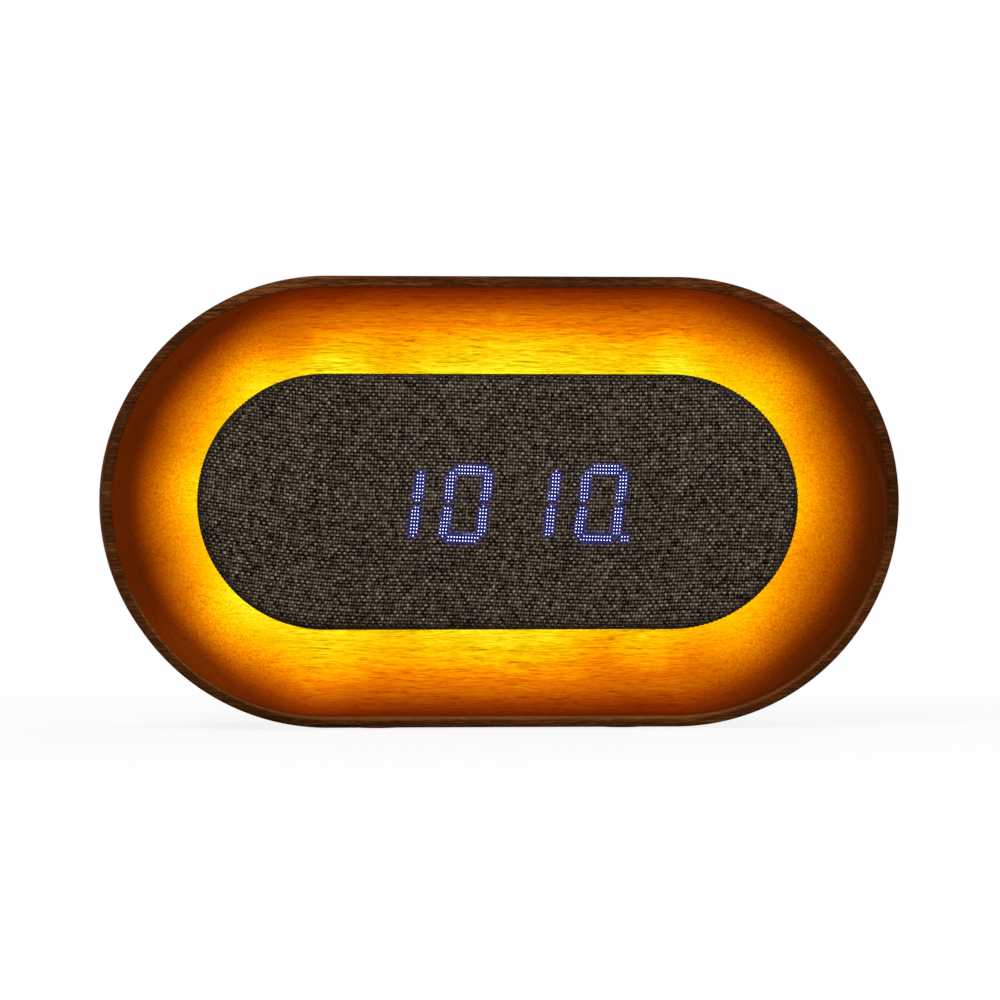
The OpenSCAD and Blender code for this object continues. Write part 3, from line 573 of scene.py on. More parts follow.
outline = [(WEB_HOLE_R, FLOOR_Z), (WEB_HOLE_R, WEB_Z), (POCKET_R, WEB_Z), (POCKET_R, LEDGE_Z),
           (REBATE_R, LEDGE_Z), (REBATE_R, REBATE_CHAMFER), (REBATE_R + REBATE_CHAMFER, 0.0)]
outline += turn(BODY_R - BACK_ROUND, BACK_ROUND, BACK_ROUND, -90, 0, BACK_STEPS)
outline += turn(BODY_R - RIM_ROUND, BODY_D - RIM_ROUND, RIM_ROUND, 0, 90, RIM_STEPS)
outline += turn(COVE_WALL_R + RIM_ROUND, BODY_D - RIM_ROUND, RIM_ROUND, 90, 180, RIM_STEPS)
outline += turn(COVE_FLOOR_R, FLOOR_Z + COVE_R, COVE_R, 0, -90, COVE_STEPS)

outline_mesh = bpy.data.meshes.new("dish_outline")
points = [((r - PATH_R) * MM, -z * MM, 0.0) for r, z in outline]
edges = [(i, (i + 1) % len(points)) for i in range(len(points))]
outline_mesh.from_pydata(points, edges, [])
outline_piece = bpy.data.objects.new("dish_outline", outline_mesh)
bpy.context.scene.collection.objects.link(outline_piece)
print("outline:", len(outline), "points")

# %% [markdown]
# A Geometry Nodes tree makes the path, a circle that is pulled apart into two half turns, and carries
# the outline along it. The class Recipe holds such a tree. Its sizes are named inputs, which the
# modifier sets, and its result is kept as a plain mesh.


# %% Sweep of the dish
class Recipe:
    """A Geometry Nodes tree under construction."""

    def __init__(self, name):
        self.tree = bpy.data.node_groups.new(name, "GeometryNodeTree")
        self.tree.interface.new_socket("Geometry", in_out="OUTPUT", socket_type="NodeSocketGeometry")
        self.values = {}

    def size(self, name, kind, value):
        """A named input, with the value that the modifier sets."""
        socket = self.tree.interface.new_socket(name, in_out="INPUT", socket_type="NodeSocket" + kind)
        self.values[socket.identifier] = value

    def node(self, kind, settings=None, inputs=None):
        made = self.tree.nodes.new(kind)
        for name, value in (settings or {}).items():
            setattr(made, name, value)
        for name, value in (inputs or {}).items():
            if isinstance(value, bpy.types.NodeSocket):
                self.tree.links.new(value, made.inputs[name])
            else:
                made.inputs[name].default_value = value
        return made

    def finish(self, geometry, material):
        real = self.node("GeometryNodeRealizeInstances", None, {"Geometry": geometry})
        coat = {"Geometry": real.outputs[0], "Material": material}
        painted = self.node("GeometryNodeSetMaterial", None, coat)
        self.node("NodeGroupOutput", None, {0: painted.outputs[0]})

    def made_mesh(self, name):
        """Runs the tree and keeps its result as a plain mesh piece at the origin."""
        seed = bpy.data.objects.new(name + "_seed", bpy.data.meshes.new(name + "_seed"))
        bpy.context.scene.collection.objects.link(seed)
        modifier = seed.modifiers.new(name, "NODES")
        modifier.node_group = self.tree
        for identifier, value in self.values.items():
            modifier[identifier] = value
        bpy.context.view_layer.update()
        evaluated = seed.evaluated_get(bpy.context.evaluated_depsgraph_get())
        mesh = bpy.data.meshes.new_from_object(evaluated)
        bpy.data.objects.remove(seed)
        return show(name, mesh)


def show(name, mesh):
    mesh.name = name
    piece = bpy.data.objects.new(name, mesh)
    bpy.context.scene.collection.objects.link(piece)
    return piece


def volume(mesh):
    """The volume that a closed mesh holds, below zero if its faces point inwards."""
    mesh.calc_loop_triangles()
    corners = np.array([[mesh.vertices[i].co for i in t.vertices] for t in mesh.loop_triangles])
    return float(np.einsum("ij,ij->i", corners[:, 0], np.cross(corners[:, 1], corners[:, 2])).sum() / 6)


STEPS_ROUND = 264
SHARP = math.radians(35)

sweep = Recipe("dish_sweep")
sweep.size("Outline", "Object", outline_piece)
sweep.size("Straight length", "Float", 2 * HALF_STRAIGHT * MM)
sweep.size("Path radius", "Float", PATH_R * MM)
sweep.size("Steps round", "Int", STEPS_ROUND)
given = sweep.node("NodeGroupInput").outputs
ring = sweep.node("GeometryNodeMeshCircle", {"fill_type": "NONE"}, {
    "Vertices": given["Steps round"], "Radius": given["Path radius"]})
half_step = sweep.node("GeometryNodeTransform", None, {
    "Geometry": ring.outputs[0], "Rotation": (0.0, 0.0, math.pi / STEPS_ROUND)})
at = sweep.node("GeometryNodeInputPosition").outputs[0]
parts = sweep.node("ShaderNodeSeparateXYZ", None, {0: at}).outputs
side = sweep.node("ShaderNodeMath", {"operation": "SIGN"}, {0: parts[0]}).outputs[0]
pull = sweep.node("ShaderNodeMath", {"operation": "MULTIPLY"}, {0: side, 1: given["Straight length"]})
pull = sweep.node("ShaderNodeMath", {"operation": "MULTIPLY"}, {0: pull.outputs[0], 1: 0.5})
shift = sweep.node("ShaderNodeCombineXYZ", None, {0: pull.outputs[0]}).outputs[0]
pulled = sweep.node("GeometryNodeSetPosition", None, {"Geometry": half_step.outputs[0], "Offset": shift})
path = sweep.node("GeometryNodeMeshToCurve", None, {0: pulled.outputs[0]})
upright = sweep.node("GeometryNodeSetCurveNormal", {"mode": "Z_UP"}, {0: path.outputs[0]})
shape = sweep.node("GeometryNodeObjectInfo", None, {0: given["Outline"]})
profile = sweep.node("GeometryNodeMeshToCurve", None, {0: shape.outputs["Geometry"]})
carried = sweep.node("GeometryNodeCurveToMesh", None, {0: upright.outputs[0], 1: profile.outputs[0]})
stood = sweep.node("GeometryNodeTransform", None, {
    "Geometry": carried.outputs[0], "Rotation": (math.pi / 2, 0.0, 0.0),
    "Translation": (0.0, BODY_D / 2 * MM, CENTRE_HEIGHT * MM)})
sweep.finish(stood.outputs[0], walnut_finish)
dish = sweep.made_mesh("walnut_dish")
bpy.data.objects.remove(outline_piece)
if volume(dish.data) < 0:
    dish.data.flip_normals()
dish.data.shade_smooth()
dish.data.set_sharp_from_angle(angle=SHARP)
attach(dish, "clock")
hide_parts("wood_shell")
box = np.array([v.co for v in dish.data.vertices])
print("dish:", len(dish.data.polygons), "faces", (box.min(0) / MM).round(2), (box.max(0) / MM).round(2))
print("dish volume in cubic cm:", round(volume(dish.data) * 1e6, 1))

# %% [markdown]
# ## Cloth on the panel
# The panel is covered in a coarse plain weave: light weft threads lie across, dark warp threads run up,
# and each passes over and under the other in turn. The display shines through the holes between them, so
# the threads are real ribbons with real holes and not a picture of a weave. The threads are laid out
# flat, skewed a little as hand-stretched cloth is, and then wrapped over the panel's face, round its
# edge, down its side and under the hem. A simulation would add nothing, because the cloth is glued down
# and stretched tight.

# %% Flat cloth and how it wraps
PANEL_R = 32.15
PANEL_FRONT_Z = 48.0
PANEL_DEPTH = 8.0
PANEL_ROUND = 2.5
CLOTH_T = 0.7
CLOTH_CLEAR = 0.05
EDGE_R = PANEL_ROUND - CLOTH_T / 2
SIDE_R = PANEL_R + CLOTH_CLEAR
FACE_R = SIDE_R - EDGE_R
FACE_Z = PANEL_FRONT_Z - CLOTH_T / 2
HEM_R = 0.5
HEM_Z = PANEL_FRONT_Z - PANEL_DEPTH - CLOTH_T / 2
EDGE_RUN = EDGE_R * math.pi / 2
SIDE_RUN = FACE_Z - EDGE_R - HEM_Z - HEM_R
FOLD_RUN = HEM_R * math.pi / 2
HEM_RUN = 1.4
CUT_R = FACE_R + EDGE_RUN + SIDE_RUN + FOLD_RUN + HEM_RUN
TINY = 1e-9


def from_middle(x, y):
    """How far points of the flat cloth lie beyond the straight part in x, and from its middle line."""
    beyond = x - np.clip(x, -HALF_STRAIGHT, HALF_STRAIGHT)
    return beyond, np.hypot(beyond, y)


def wrap(x, y):
    """Places and normals on the panel, in the clock's own frame, for points of the flat cloth."""
    beyond, distance = from_middle(x, y)
    out_x = beyond / np.maximum(distance, TINY)
    out_y = y / np.maximum(distance, TINY)
    run = distance - FACE_R
    edge = np.clip(run / EDGE_R, 0, math.pi / 2)
    side = np.clip(run - EDGE_RUN, 0, SIDE_RUN)
    fold = np.clip((run - EDGE_RUN - SIDE_RUN) / HEM_R, 0, math.pi / 2)
    hem = np.clip(run - EDGE_RUN - SIDE_RUN - FOLD_RUN, 0, None)
    radius = np.minimum(distance, FACE_R) + EDGE_R * np.sin(edge) - HEM_R * (1 - np.cos(fold)) - hem
    z = FACE_Z - EDGE_R * (1 - np.cos(edge)) - side - HEM_R * np.sin(fold)
    tilt = edge + fold
    place = np.stack([x - beyond + radius * out_x, radius * out_y, z], -1)
    normal = np.stack([np.sin(tilt) * out_x, np.sin(tilt) * out_y, np.cos(tilt)], -1)
    return place, normal


flat_area = math.pi * CUT_R**2 + 4 * HALF_STRAIGHT * CUT_R
print("cloth cut: end radius", round(CUT_R, 2), "mm, area", round(flat_area / 100, 1), "square cm")

# %% [markdown]
# The skew has two parts. The rows climb towards the left end and dip twice more on the way, and the
# upright threads lean more and more towards the bottom. Both are slopes at a few places, in degrees,
# added up along the cloth.

# %% Skew of the weave
ROW_PLACES = [-90.0, -64.0, -51.0, -39.0, -29.0, -12.0, 8.0, 20.0, 41.0, 54.0, 66.0, 90.0]
ROW_SLOPES = [10.0, 9.3, 7.5, 3.0, 0.8, 2.0, 3.5, 2.5, -2.2, -1.0, 1.3, 2.0]
ROW_STEPS = 720
SMOOTHED = 41
LEAN_MIDDLE = 4.1
LEAN_CHANGE = 0.19

skew_at = np.linspace(ROW_PLACES[0], ROW_PLACES[-1], ROW_STEPS + 1)
slopes = np.interp(skew_at, ROW_PLACES, ROW_SLOPES)
slopes = np.pad(slopes, SMOOTHED // 2, mode="edge")
slopes = np.convolve(slopes, np.full(SMOOTHED, 1 / SMOOTHED), mode="valid")
row_rise = -np.cumsum(np.tan(np.radians(slopes))) * (skew_at[1] - skew_at[0])
row_rise -= np.interp(0.0, skew_at, row_rise)


def skewed(u, v):
    """Where a point of the square weave lies on the flat cloth."""
    x = u + math.radians(LEAN_MIDDLE) * v - math.radians(LEAN_CHANGE) * v**2 / 2
    return x, v + np.interp(x, skew_at, row_rise)


left_end = -HALF_STRAIGHT - FACE_R
print("rows climb by", round(float(np.interp(left_end, skew_at, row_rise)), 1), "mm at the left end")

# %% [markdown]
# The display's bars come next, before the threads, because a thread beside a lit bar glows blue. Each
# digit is seven six-sided bars that lean to the right, and a point. The face shows ten past ten.

# %% Lit bars of the display
DIGITS = 4
DIGIT_H = 17.4
DIGIT_W = 9.3
DIGIT_PITCH = 17.2
DIGIT_Y = -0.6
BAR_W = 2.2
BAR_GAP = 0.5
LEAN = math.tan(math.radians(8))
POINT_AT = (7.1, -DIGIT_H / 2)
POINT_R = 1.1
FAR_OFF = 1e3
DIGIT_X = [(i - (DIGITS - 1) / 2) * DIGIT_PITCH for i in range(DIGITS)]
LEVEL_BARS = {"top": 1.0, "bottom": -1.0, "middle": 0.0}
UPRIGHT_BARS = {"upper_right": (1, 0.5), "lower_right": (1, -0.5),
                "lower_left": (-1, -0.5), "upper_left": (-1, 0.5)}
ONE = ("upper_right", "lower_right")
ZERO = ("top", "bottom", *UPRIGHT_BARS)
SHOWN = [ONE, ZERO, ONE, ZERO]


def beyond_bar(x, y, bar):
    """How far points of an upright digit lie outside one bar, below zero inside it."""
    if bar in LEVEL_BARS:
        along, over = abs(x), abs(y - LEVEL_BARS[bar] * DIGIT_H / 2)
        length = DIGIT_W - BAR_GAP
    else:
        side, rise = UPRIGHT_BARS[bar]
        along, over = abs(y - rise * DIGIT_H / 2), abs(x - side * DIGIT_W / 2)
        length = DIGIT_H / 2 - BAR_GAP
    return np.maximum(over - BAR_W / 2, (along + over - length / 2) / math.sqrt(2))


def beyond_display(x, y):
    """How far points of the face lie outside the lit bars and the last digit's point."""
    nearest = np.full(np.shape(x), FAR_OFF)
    for middle, bars in zip(DIGIT_X, SHOWN):
        upright = x - middle - (y - DIGIT_Y) * LEAN
        for bar in bars:
            nearest = np.minimum(nearest, beyond_bar(upright, y - DIGIT_Y, bar))
    point_x = DIGIT_X[-1] + POINT_AT[0] + POINT_AT[1] * LEAN
    point = np.hypot(x - point_x, y - DIGIT_Y - POINT_AT[1]) - POINT_R
    return np.minimum(nearest, point)


print("lit bars:", sum(len(bars) for bars in SHOWN), "and one point")

# %% [markdown]
# Each thread is a ribbon of three points across, the middle one raised, with two steps to a crossing.
# Its width, its place and its shade wander a little along it, as spun yarn does. Beside a lit bar it
# keeps calm, so that the light comes through as even rows of dots. Five attributes go with the mesh for
# the finish to use: shade, lift, the turn round the panel's edge, the halo of the display, and the gleam
# of that halo on a thread's flanks. The random draws are seeded.

# %% Threads of the weave
# Lift sets a thread's painted shade: across darkens its edges, swing its dives, uneven varies it by
# crossing.
WARP = {"lines": 125, "pitch": 0.746, "width": 0.57, "rise": 0.19, "swing": 1.1, "uneven": 0.42,
        "across": (-0.55, 0.15, -0.55), "seed": 11}
WEFT = {"lines": 58, "pitch": 0.898, "width": 0.69, "rise": 0.05, "swing": 1.0, "uneven": 0.28,
        "across": (-0.9, 0.3, -0.9), "seed": 12}
SPARE = 8.0
CROWN = 0.09
CROWN_ACROSS = (-0.7, 1.0, -0.7)
FLANKS = (1.0, 0.0, 1.0)
# Each wandering has a span, in steps along the thread, and a size.
SLOW_DRIFT = (25, 0.03)
QUICK_DRIFT = (5, 0.03)
THIN_AND_THICK = (9, 0.06)
SLUBS = (41, 0.06)
MOTTLE = (7, 0.7)
THREAD_SHADE = 0.5
CROSSING_SHADE = 1.1
# How near a lit bar the threads keep calm, and how much of the wandering is lost there.
CALM_REACH = 1.0
CALM_SHARE = 0.75
HALO_REACH = 0.40
HALO_START = 0.1
FACE_BAND = 1.0
# The threads close up as the cloth turns round the edge, which starts this far before it.
CLOSING = 0.35
TURN_EARLY = 0.8


def wander(draws, shape, span, size):
    """Smooth random values along each thread, of about the given size."""
    rough = draws.normal(size=(shape[0], shape[1] + span - 1))
    window = np.hanning(span + 2)[1:-1]
    window /= np.sqrt((window**2).sum())
    return size * np.stack([np.convolve(row, window, mode="valid") for row in rough])


def turn_away(x, y):
    """0 on the panel's face, rising to 1 where the cloth has turned round its edge."""
    return np.clip((from_middle(x, y)[1] - FACE_R + TURN_EARLY) / (EDGE_RUN + TURN_EARLY), 0, 1)


def near_light(distance, reach):
    """1 on a lit bar, falling smoothly to nothing beyond the reach."""
    return np.exp(-(np.maximum(distance, 0) / reach) ** 2)


def ribbon_faces(kept):
    """Two rows of faces along each thread, over the steps that are kept."""
    index = np.full(kept.shape, -1)
    index[kept] = np.arange(kept.sum())
    both = kept[:, :-1] & kept[:, 1:]
    first = index[:, :-1][both] * 3
    second = index[:, 1:][both] * 3
    return np.concatenate([
        np.stack([first + k, second + k, second + k + 1, first + k + 1], -1) for k in (0, 1)])


def weave(name, yarn, step_pitch, upright):
    """One family of threads as a mesh, with its shade and its share of the display's light."""
    draws = np.random.default_rng(yarn["seed"])
    reach = CUT_R + SPARE + (0.0 if upright else HALF_STRAIGHT)
    count = int(reach / (step_pitch / 2))
    numbers = np.arange(-yarn["lines"], yarn["lines"] + 1)
    number, step = np.meshgrid(numbers, np.arange(-count, count + 1), indexing="ij")
    shape = number.shape

    def on_cloth(aside, along):
        return skewed(aside, along) if upright else skewed(along, aside)

    turn_over = np.cos(math.pi * (step / 2 + number)) * (1 if upright else -1)
    straight = number * yarn["pitch"]
    along = step * step_pitch / 2
    loose = 1 - CALM_SHARE * near_light(beyond_display(*on_cloth(straight, along)), CALM_REACH)
    drift = wander(draws, shape, *SLOW_DRIFT) + wander(draws, shape, *QUICK_DRIFT)
    middle = straight + loose * drift
    slub = wander(draws, shape, *THIN_AND_THICK) + np.maximum(wander(draws, shape, *SLUBS), 0)
    crossing = np.repeat(draws.normal(size=(shape[0], shape[1] // 2 + 1)), 2, axis=1)[:, :shape[1]]
    shade = draws.normal(size=(shape[0], 1)) * THREAD_SHADE + wander(draws, shape, *MOTTLE)
    shade = shade + crossing * CROSSING_SHADE
    turned = turn_away(*on_cloth(middle, along))
    half = yarn["width"] / 2 * (1 + loose * slub) * (1 + CLOSING * turned)
    across = np.stack([middle - half, middle, middle + half], -1)
    flat = on_cloth(across, np.repeat(along[..., None], 3, -1))
    place, normal = wrap(*flat)
    raised = (yarn["rise"] * turn_over)[..., None] + CROWN * np.array(CROWN_ACROSS)
    place = place + normal * raised[..., None]

    kept = from_middle(*flat)[1][..., 1] <= CUT_R
    faces = ribbon_faces(kept)
    if upright:
        faces = faces[:, ::-1]
    mesh = bpy.data.meshes.new(name)
    points = stand(*np.moveaxis(place[kept].reshape(-1, 3), -1, 0))
    mesh.from_pydata(points, [], faces)
    halo = near_light(beyond_display(*flat) + HALO_START, HALO_REACH)
    halo = halo * (place[..., 2] > FACE_Z - FACE_BAND)
    # the lift that sets each thread's painted shade at its dives
    lift_shade = yarn["swing"] * turn_over + yarn["uneven"] * crossing * loose
    tones = {"shade": np.repeat(shade[..., None], 3, -1), "halo": halo,
             "turned": np.repeat(turned[..., None], 3, -1),
             "lift": lift_shade[..., None] + np.array(yarn["across"]),
             "gleam": halo * (1 - abs(turn_over[..., None])) * np.array(FLANKS)}
    for tone_name, values in tones.items():
        layer = mesh.attributes.new(tone_name, "FLOAT", "POINT")
        layer.data.foreach_set("value", values[kept].astype(np.float32).ravel())
    mesh.shade_smooth()
    return show(name, mesh)


warp = weave("cloth_warp", WARP, WEFT["pitch"], upright=True)
weft = weave("cloth_weft", WEFT, WARP["pitch"], upright=False)
print("cloth faces:", len(warp.data.polygons), "and", len(weft.data.polygons))

# %% [markdown]
# Both families are a matt grey brown, the warp a shade darker, and both are mottled along their length.
# Painted shade darkens them where they dive under each other, along their edges and where the cloth
# turns round the panel's edge. Over a lit bar the threads stand against its light, so painted shade
# makes them dark there and painted emission gives them only a deep blue, with a brighter gleam on the
# flanks that face a hole.

# %% Cloth finish
HALO_BLUE = (0.004, 0.006, 0.085)
HALO_SHADE = (0.003, 0.003, 0.008)
HALO_COVER = 0.9
GLEAM_BLUE = (0.12, 0.145, 0.48)
GLEAM_POWER = 1.5
SPILL_BLUE = (0.007, 0.009, 0.036)
SPILL_POWER = 0.2
DIVE_SHADE = linear(17, 11, 6)
LIFT_TOP = 1.3
TURNED_SHADE_SHARE = 0.75
TURNED_SHADE_DARKNESS = 0.2
FUZZ_CYCLES = (6.0, 6.0, 6.0)
CLUMP_CYCLES = (3.6, 3.6, 3.6)
PATCH_CYCLES = (0.07, 0.07, 0.11)
# How strongly each of these shows in the shade, and what brings the shade back to the middle.
YARN_SHADE = 0.075
YARN_FUZZ = 0.6
YARN_CLUMPS = 1.7
YARN_PATCHES = 0.25
YARN_LEVEL = 0.78
SHADE_STOPS = (0.15, 0.5, 0.85)
FUZZ_RELIEF = 0.04


def cloth_finish(name, dive, dark, mid, pale):
    """Spun yarn with painted shade: dive is the lift below which a thread takes its underside's shade.
    """
    yarn = Finish(name)
    spot = yarn.place()
    fuzz = yarn.noise(spot, FUZZ_CYCLES, detail=2.0)
    clumps = yarn.noise(spot, CLUMP_CYCLES, detail=2.0)
    patches = yarn.noise(spot, PATCH_CYCLES, detail=2.0)
    shade = yarn.attribute("shade") * YARN_SHADE + fuzz * YARN_FUZZ + clumps * YARN_CLUMPS
    shade = shade + patches * YARN_PATCHES - YARN_LEVEL
    lift = yarn.attribute("lift").step(dive, LIFT_TOP)
    colour = yarn.ramp(shade, list(zip(SHADE_STOPS, (dark, mid, pale))))
    # painted shade where the threads dive under each other and along their edges
    colour = yarn.mix(lift, DIVE_SHADE, colour)
    # painted shade where the cloth turns round the panel's edge
    turned_shade = tuple(c * TURNED_SHADE_DARKNESS for c in dark)
    colour = yarn.mix(yarn.attribute("turned") * TURNED_SHADE_SHARE, colour, turned_shade)
    halo = yarn.attribute("halo")
    # painted shade over a lit bar, and painted blue emission of its light, brightest on the flanks
    colour = yarn.mix(halo * HALO_COVER, colour, HALO_SHADE)
    glow = yarn.mix(halo ** SPILL_POWER, BLACK, SPILL_BLUE)
    glow = yarn.mix(halo, glow, HALO_BLUE)
    glow = yarn.mix(yarn.attribute("gleam") ** GLEAM_POWER, glow, GLEAM_BLUE)
    return yarn.surface(Base_Color=colour, Roughness=0.9, Specular_IOR_Level=0.0, Emission_Color=glow,
                        Emission_Strength=1.0, Normal=yarn.bump(fuzz, FUZZ_RELIEF))


weft.data.materials.append(cloth_finish(
    "weft_yarn", dive=-0.6, dark=linear(90, 78, 66), mid=linear(131, 117, 103),
    pale=linear(160, 147, 134)))
warp.data.materials.append(cloth_finish(
    "warp_yarn", dive=-0.45, dark=linear(53, 43, 34), mid=linear(83, 70, 57),
    pale=linear(117, 103, 89)))
for piece in (warp, weft):
    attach(piece, "clock")
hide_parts("fabric_cover")
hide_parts("fabric_cover")
2 * (HALF_STRAIGHT + CUT_R) * MM
2 * CUT_R * MM
flat_area * MM**2

# %% [markdown]
# ## Display
# Each bar is a bar of clear resin over a lamp. A lit one gives blue-white light, and a dark one stays
# nearly black. Which bars are lit is worked out from the place on the digit: the bars meet at slanting
# gaps, so a few straight lines tell them apart.

# %% Display finish
LIT_BLUE = (0.50, 0.53, 1.0)
LIT_STRENGTH = 7.6
POINT_CLEAR = 0.2
MIDDLE_SHARE = 0.6
RESIN_CYCLES = (2.0, 2.0, 2.0)
RESIN_GREYS = [(0.3, (0.018, 0.019, 0.022)), (0.7, (0.03, 0.031, 0.035))]


def digit_finish(name, middle_x, is_one, has_point):
    """The resin of one digit, which is either a one or a zero."""
    resin = Finish(name)
    spot = resin.place()
    x, depth, height = resin.split(spot)
    rise = height - (CENTRE_HEIGHT + DIGIT_Y)
    upright = x - middle_x - rise * LEAN
    corner = DIGIT_H / 2 - DIGIT_W / 2
    on_point = upright > POINT_AT[0] - POINT_R - POINT_CLEAR
    on_middle = (abs(rise) + abs(upright) < DIGIT_W / 2) * (abs(rise) < BAR_W * MIDDLE_SHARE)
    lit = (1 - on_middle) * (1 - on_point)
    if is_one:
        on_right = (upright > DIGIT_W / 4) * (abs(rise) - upright < corner)
        lit = lit * on_right
    if has_point:
        lit = lit + on_point
    facing = depth < (BODY_D / 2 - FACE_Z + FACE_BAND)
    cloud = resin.noise(spot, RESIN_CYCLES, detail=2.0)
    shine = resin.mix(lit * facing * (0.8 + cloud * 0.4), BLACK, LIT_BLUE)
    return resin.surface(Base_Color=resin.ramp(cloud, RESIN_GREYS), Roughness=0.35 + cloud * 0.1,
                         Emission_Color=shine, Emission_Strength=LIT_STRENGTH, IOR=1.5)


def dress(node, material):
    """Gives a CAD piece its finish."""
    for slot in frame["nodes"][node].material_slots:
        slot.material = material


for i, middle in enumerate(DIGIT_X):
    is_last = i == DIGITS - 1
    dress(f"digit_{i + 1}", digit_finish(f"digit_resin_{i + 1}", middle, SHOWN[i] is ONE, is_last))
print("digits dressed at x =", DIGIT_X)

# %% [markdown]
# ## Finishes of the other pieces
# Everything else keeps its CAD shape, which is already right, and gets a finish of its own. Most are one
# of three kinds: moulded plastic with a fine eroded texture, drawn or plated metal with faint lines, and
# soft materials such as foam and silicone. A dictionary holds them by the names of the record's material
# slots.

# %% Moulded plastics, metals and soft pieces
FINISHES = {"walnut": walnut_finish}
CLOUD_CYCLES = (0.12, 0.12, 0.12)
DULL_CYCLES = (0.5, 0.5, 0.5)
METAL_SPREAD = 0.15
METAL_RELIEF = 0.01
PIT_SHADE = 0.4
FOAM_RELIEF = 0.15


def shades(colour, spread):
    """Stops from a darker to a paler shade of one colour."""
    darker = tuple(c * (1 - spread) for c in colour)
    paler = tuple(c * (1 + spread) for c in colour)
    return [(0.25, darker), (0.75, paler)]


def moulded(slot, colour, roughness, grain, relief, spread=0.12, gloss=0.35):
    """Plastic from a mould with an eroded texture, and a little uneven in shade."""
    plastic = Finish(slot)
    spot = plastic.place()
    texture = plastic.noise(spot, (grain, grain, grain), detail=3.0, roughness=0.6)
    cloud = plastic.noise(spot, CLOUD_CYCLES, detail=3.0)
    colours = plastic.ramp(texture * 0.5 + cloud * 0.5, shades(colour, spread))
    FINISHES[slot] = plastic.surface(
        Base_Color=colours, Roughness=roughness + (texture - 0.5) * 0.2 + (cloud - 0.5) * 0.15,
        Specular_IOR_Level=gloss, Normal=plastic.bump(texture, relief))


def metal(slot, colour, roughness, lines=(0.4, 9.0, 9.0)):
    """Metal with faint drawing lines and patches of duller plating."""
    plate = Finish(slot)
    spot = plate.place()
    drawn = plate.noise(spot, lines, detail=3.0)
    dull = plate.noise(spot, DULL_CYCLES, detail=3.0)
    colours = plate.ramp(drawn * 0.4 + dull * 0.6, shades(colour, METAL_SPREAD))
    FINISHES[slot] = plate.surface(
        Base_Color=colours, Metallic=1.0, Normal=plate.bump(drawn, METAL_RELIEF),
        Roughness=roughness + (dull - 0.5) * 0.25 + (drawn - 0.5) * 0.15)


def spongy(slot, colour, cell):
    """Foam: small open cells, with painted shade in their pits."""
    foam = Finish(slot)
    cells = foam.node("ShaderNodeTexVoronoi", None, {
        "Vector": foam.stretch(foam.place(), (1 / cell,) * 3), "Scale": 1.0}, "Distance")
    # painted shade in the pits of the cells
    colours = foam.ramp(cells, [(0.1, tuple(c * PIT_SHADE for c in colour)), (0.6, colour)])
    FINISHES[slot] = foam.surface(Base_Color=colours, Roughness=0.95, Specular_IOR_Level=0.1,
                                  Normal=foam.bump(cells, FOAM_RELIEF))


moulded("cover_plastic", linear(36, 34, 33), roughness=0.6, grain=1.9, relief=0.07, spread=0.28)
moulded("panel_plastic", linear(15, 10, 6), roughness=0.8, grain=2.5, relief=0.03, spread=0.2,
        gloss=0.01)
moulded("housing_plastic", linear(10, 9, 8), roughness=0.8, grain=3.0, relief=0.03, spread=0.2,
        gloss=0.03)
moulded("chip", linear(17, 17, 18), roughness=0.5, grain=7.0, relief=0.02, spread=0.25)
moulded("connector", linear(217, 209, 184), roughness=0.5, grain=5.0, relief=0.01, spread=0.06)
moulded("plunger_plastic", linear(217, 217, 204), roughness=0.4, grain=5.0, relief=0.01, spread=0.06)
moulded("red_wire", linear(153, 15, 13), roughness=0.45, grain=6.0, relief=0.01)
moulded("black_wire", linear(14, 14, 14), roughness=0.45, grain=6.0, relief=0.01)
moulded("foot_silicone", linear(30, 30, 30), roughness=0.85, grain=5.0, relief=0.03, spread=0.25)
moulded("white_led", linear(230, 226, 150), roughness=0.3, grain=4.0, relief=0.005, spread=0.05)
metal("black_screw", linear(38, 38, 41), roughness=0.42)
metal("steel_screw", linear(185, 186, 190), roughness=0.32)
metal("crystal_can", linear(196, 196, 200), roughness=0.22, lines=(0.5, 8.0, 8.0))
metal("capacitor_can", linear(150, 152, 160), roughness=0.3, lines=(8.0, 0.5, 8.0))
metal("socket_steel", linear(188, 188, 192), roughness=0.26, lines=(9.0, 0.4, 9.0))
spongy("foam", linear(24, 24, 24), cell=0.35)
print("plain finishes:", len(FINISHES))

# %% [markdown]
# Four finishes tell more. Circuit boards have green resist over copper tracks, with gold plated holes.
# The ribbon cable is amber film over a row of conductors. The battery's foil is creased. The buttons'
# sunken marks are filled with pale paint, which is found by its depth below the cap.

# %% Boards, ribbon, foil and buttons
REGION_CYCLES = (0.11, 0.0, 0.11)
LEVEL_BELOW = 0.38
UPRIGHT_ABOVE = 0.66
TRACK_TURN = 4.2
TRACK_EDGE = 0.35
HOLE_CYCLES = (0.3, 0.0, 0.3)
HOLE_SIZE = 0.13
MOTTLE_CYCLES = (0.6, 0.6, 0.6)
TRACK_RELIEF = 0.03

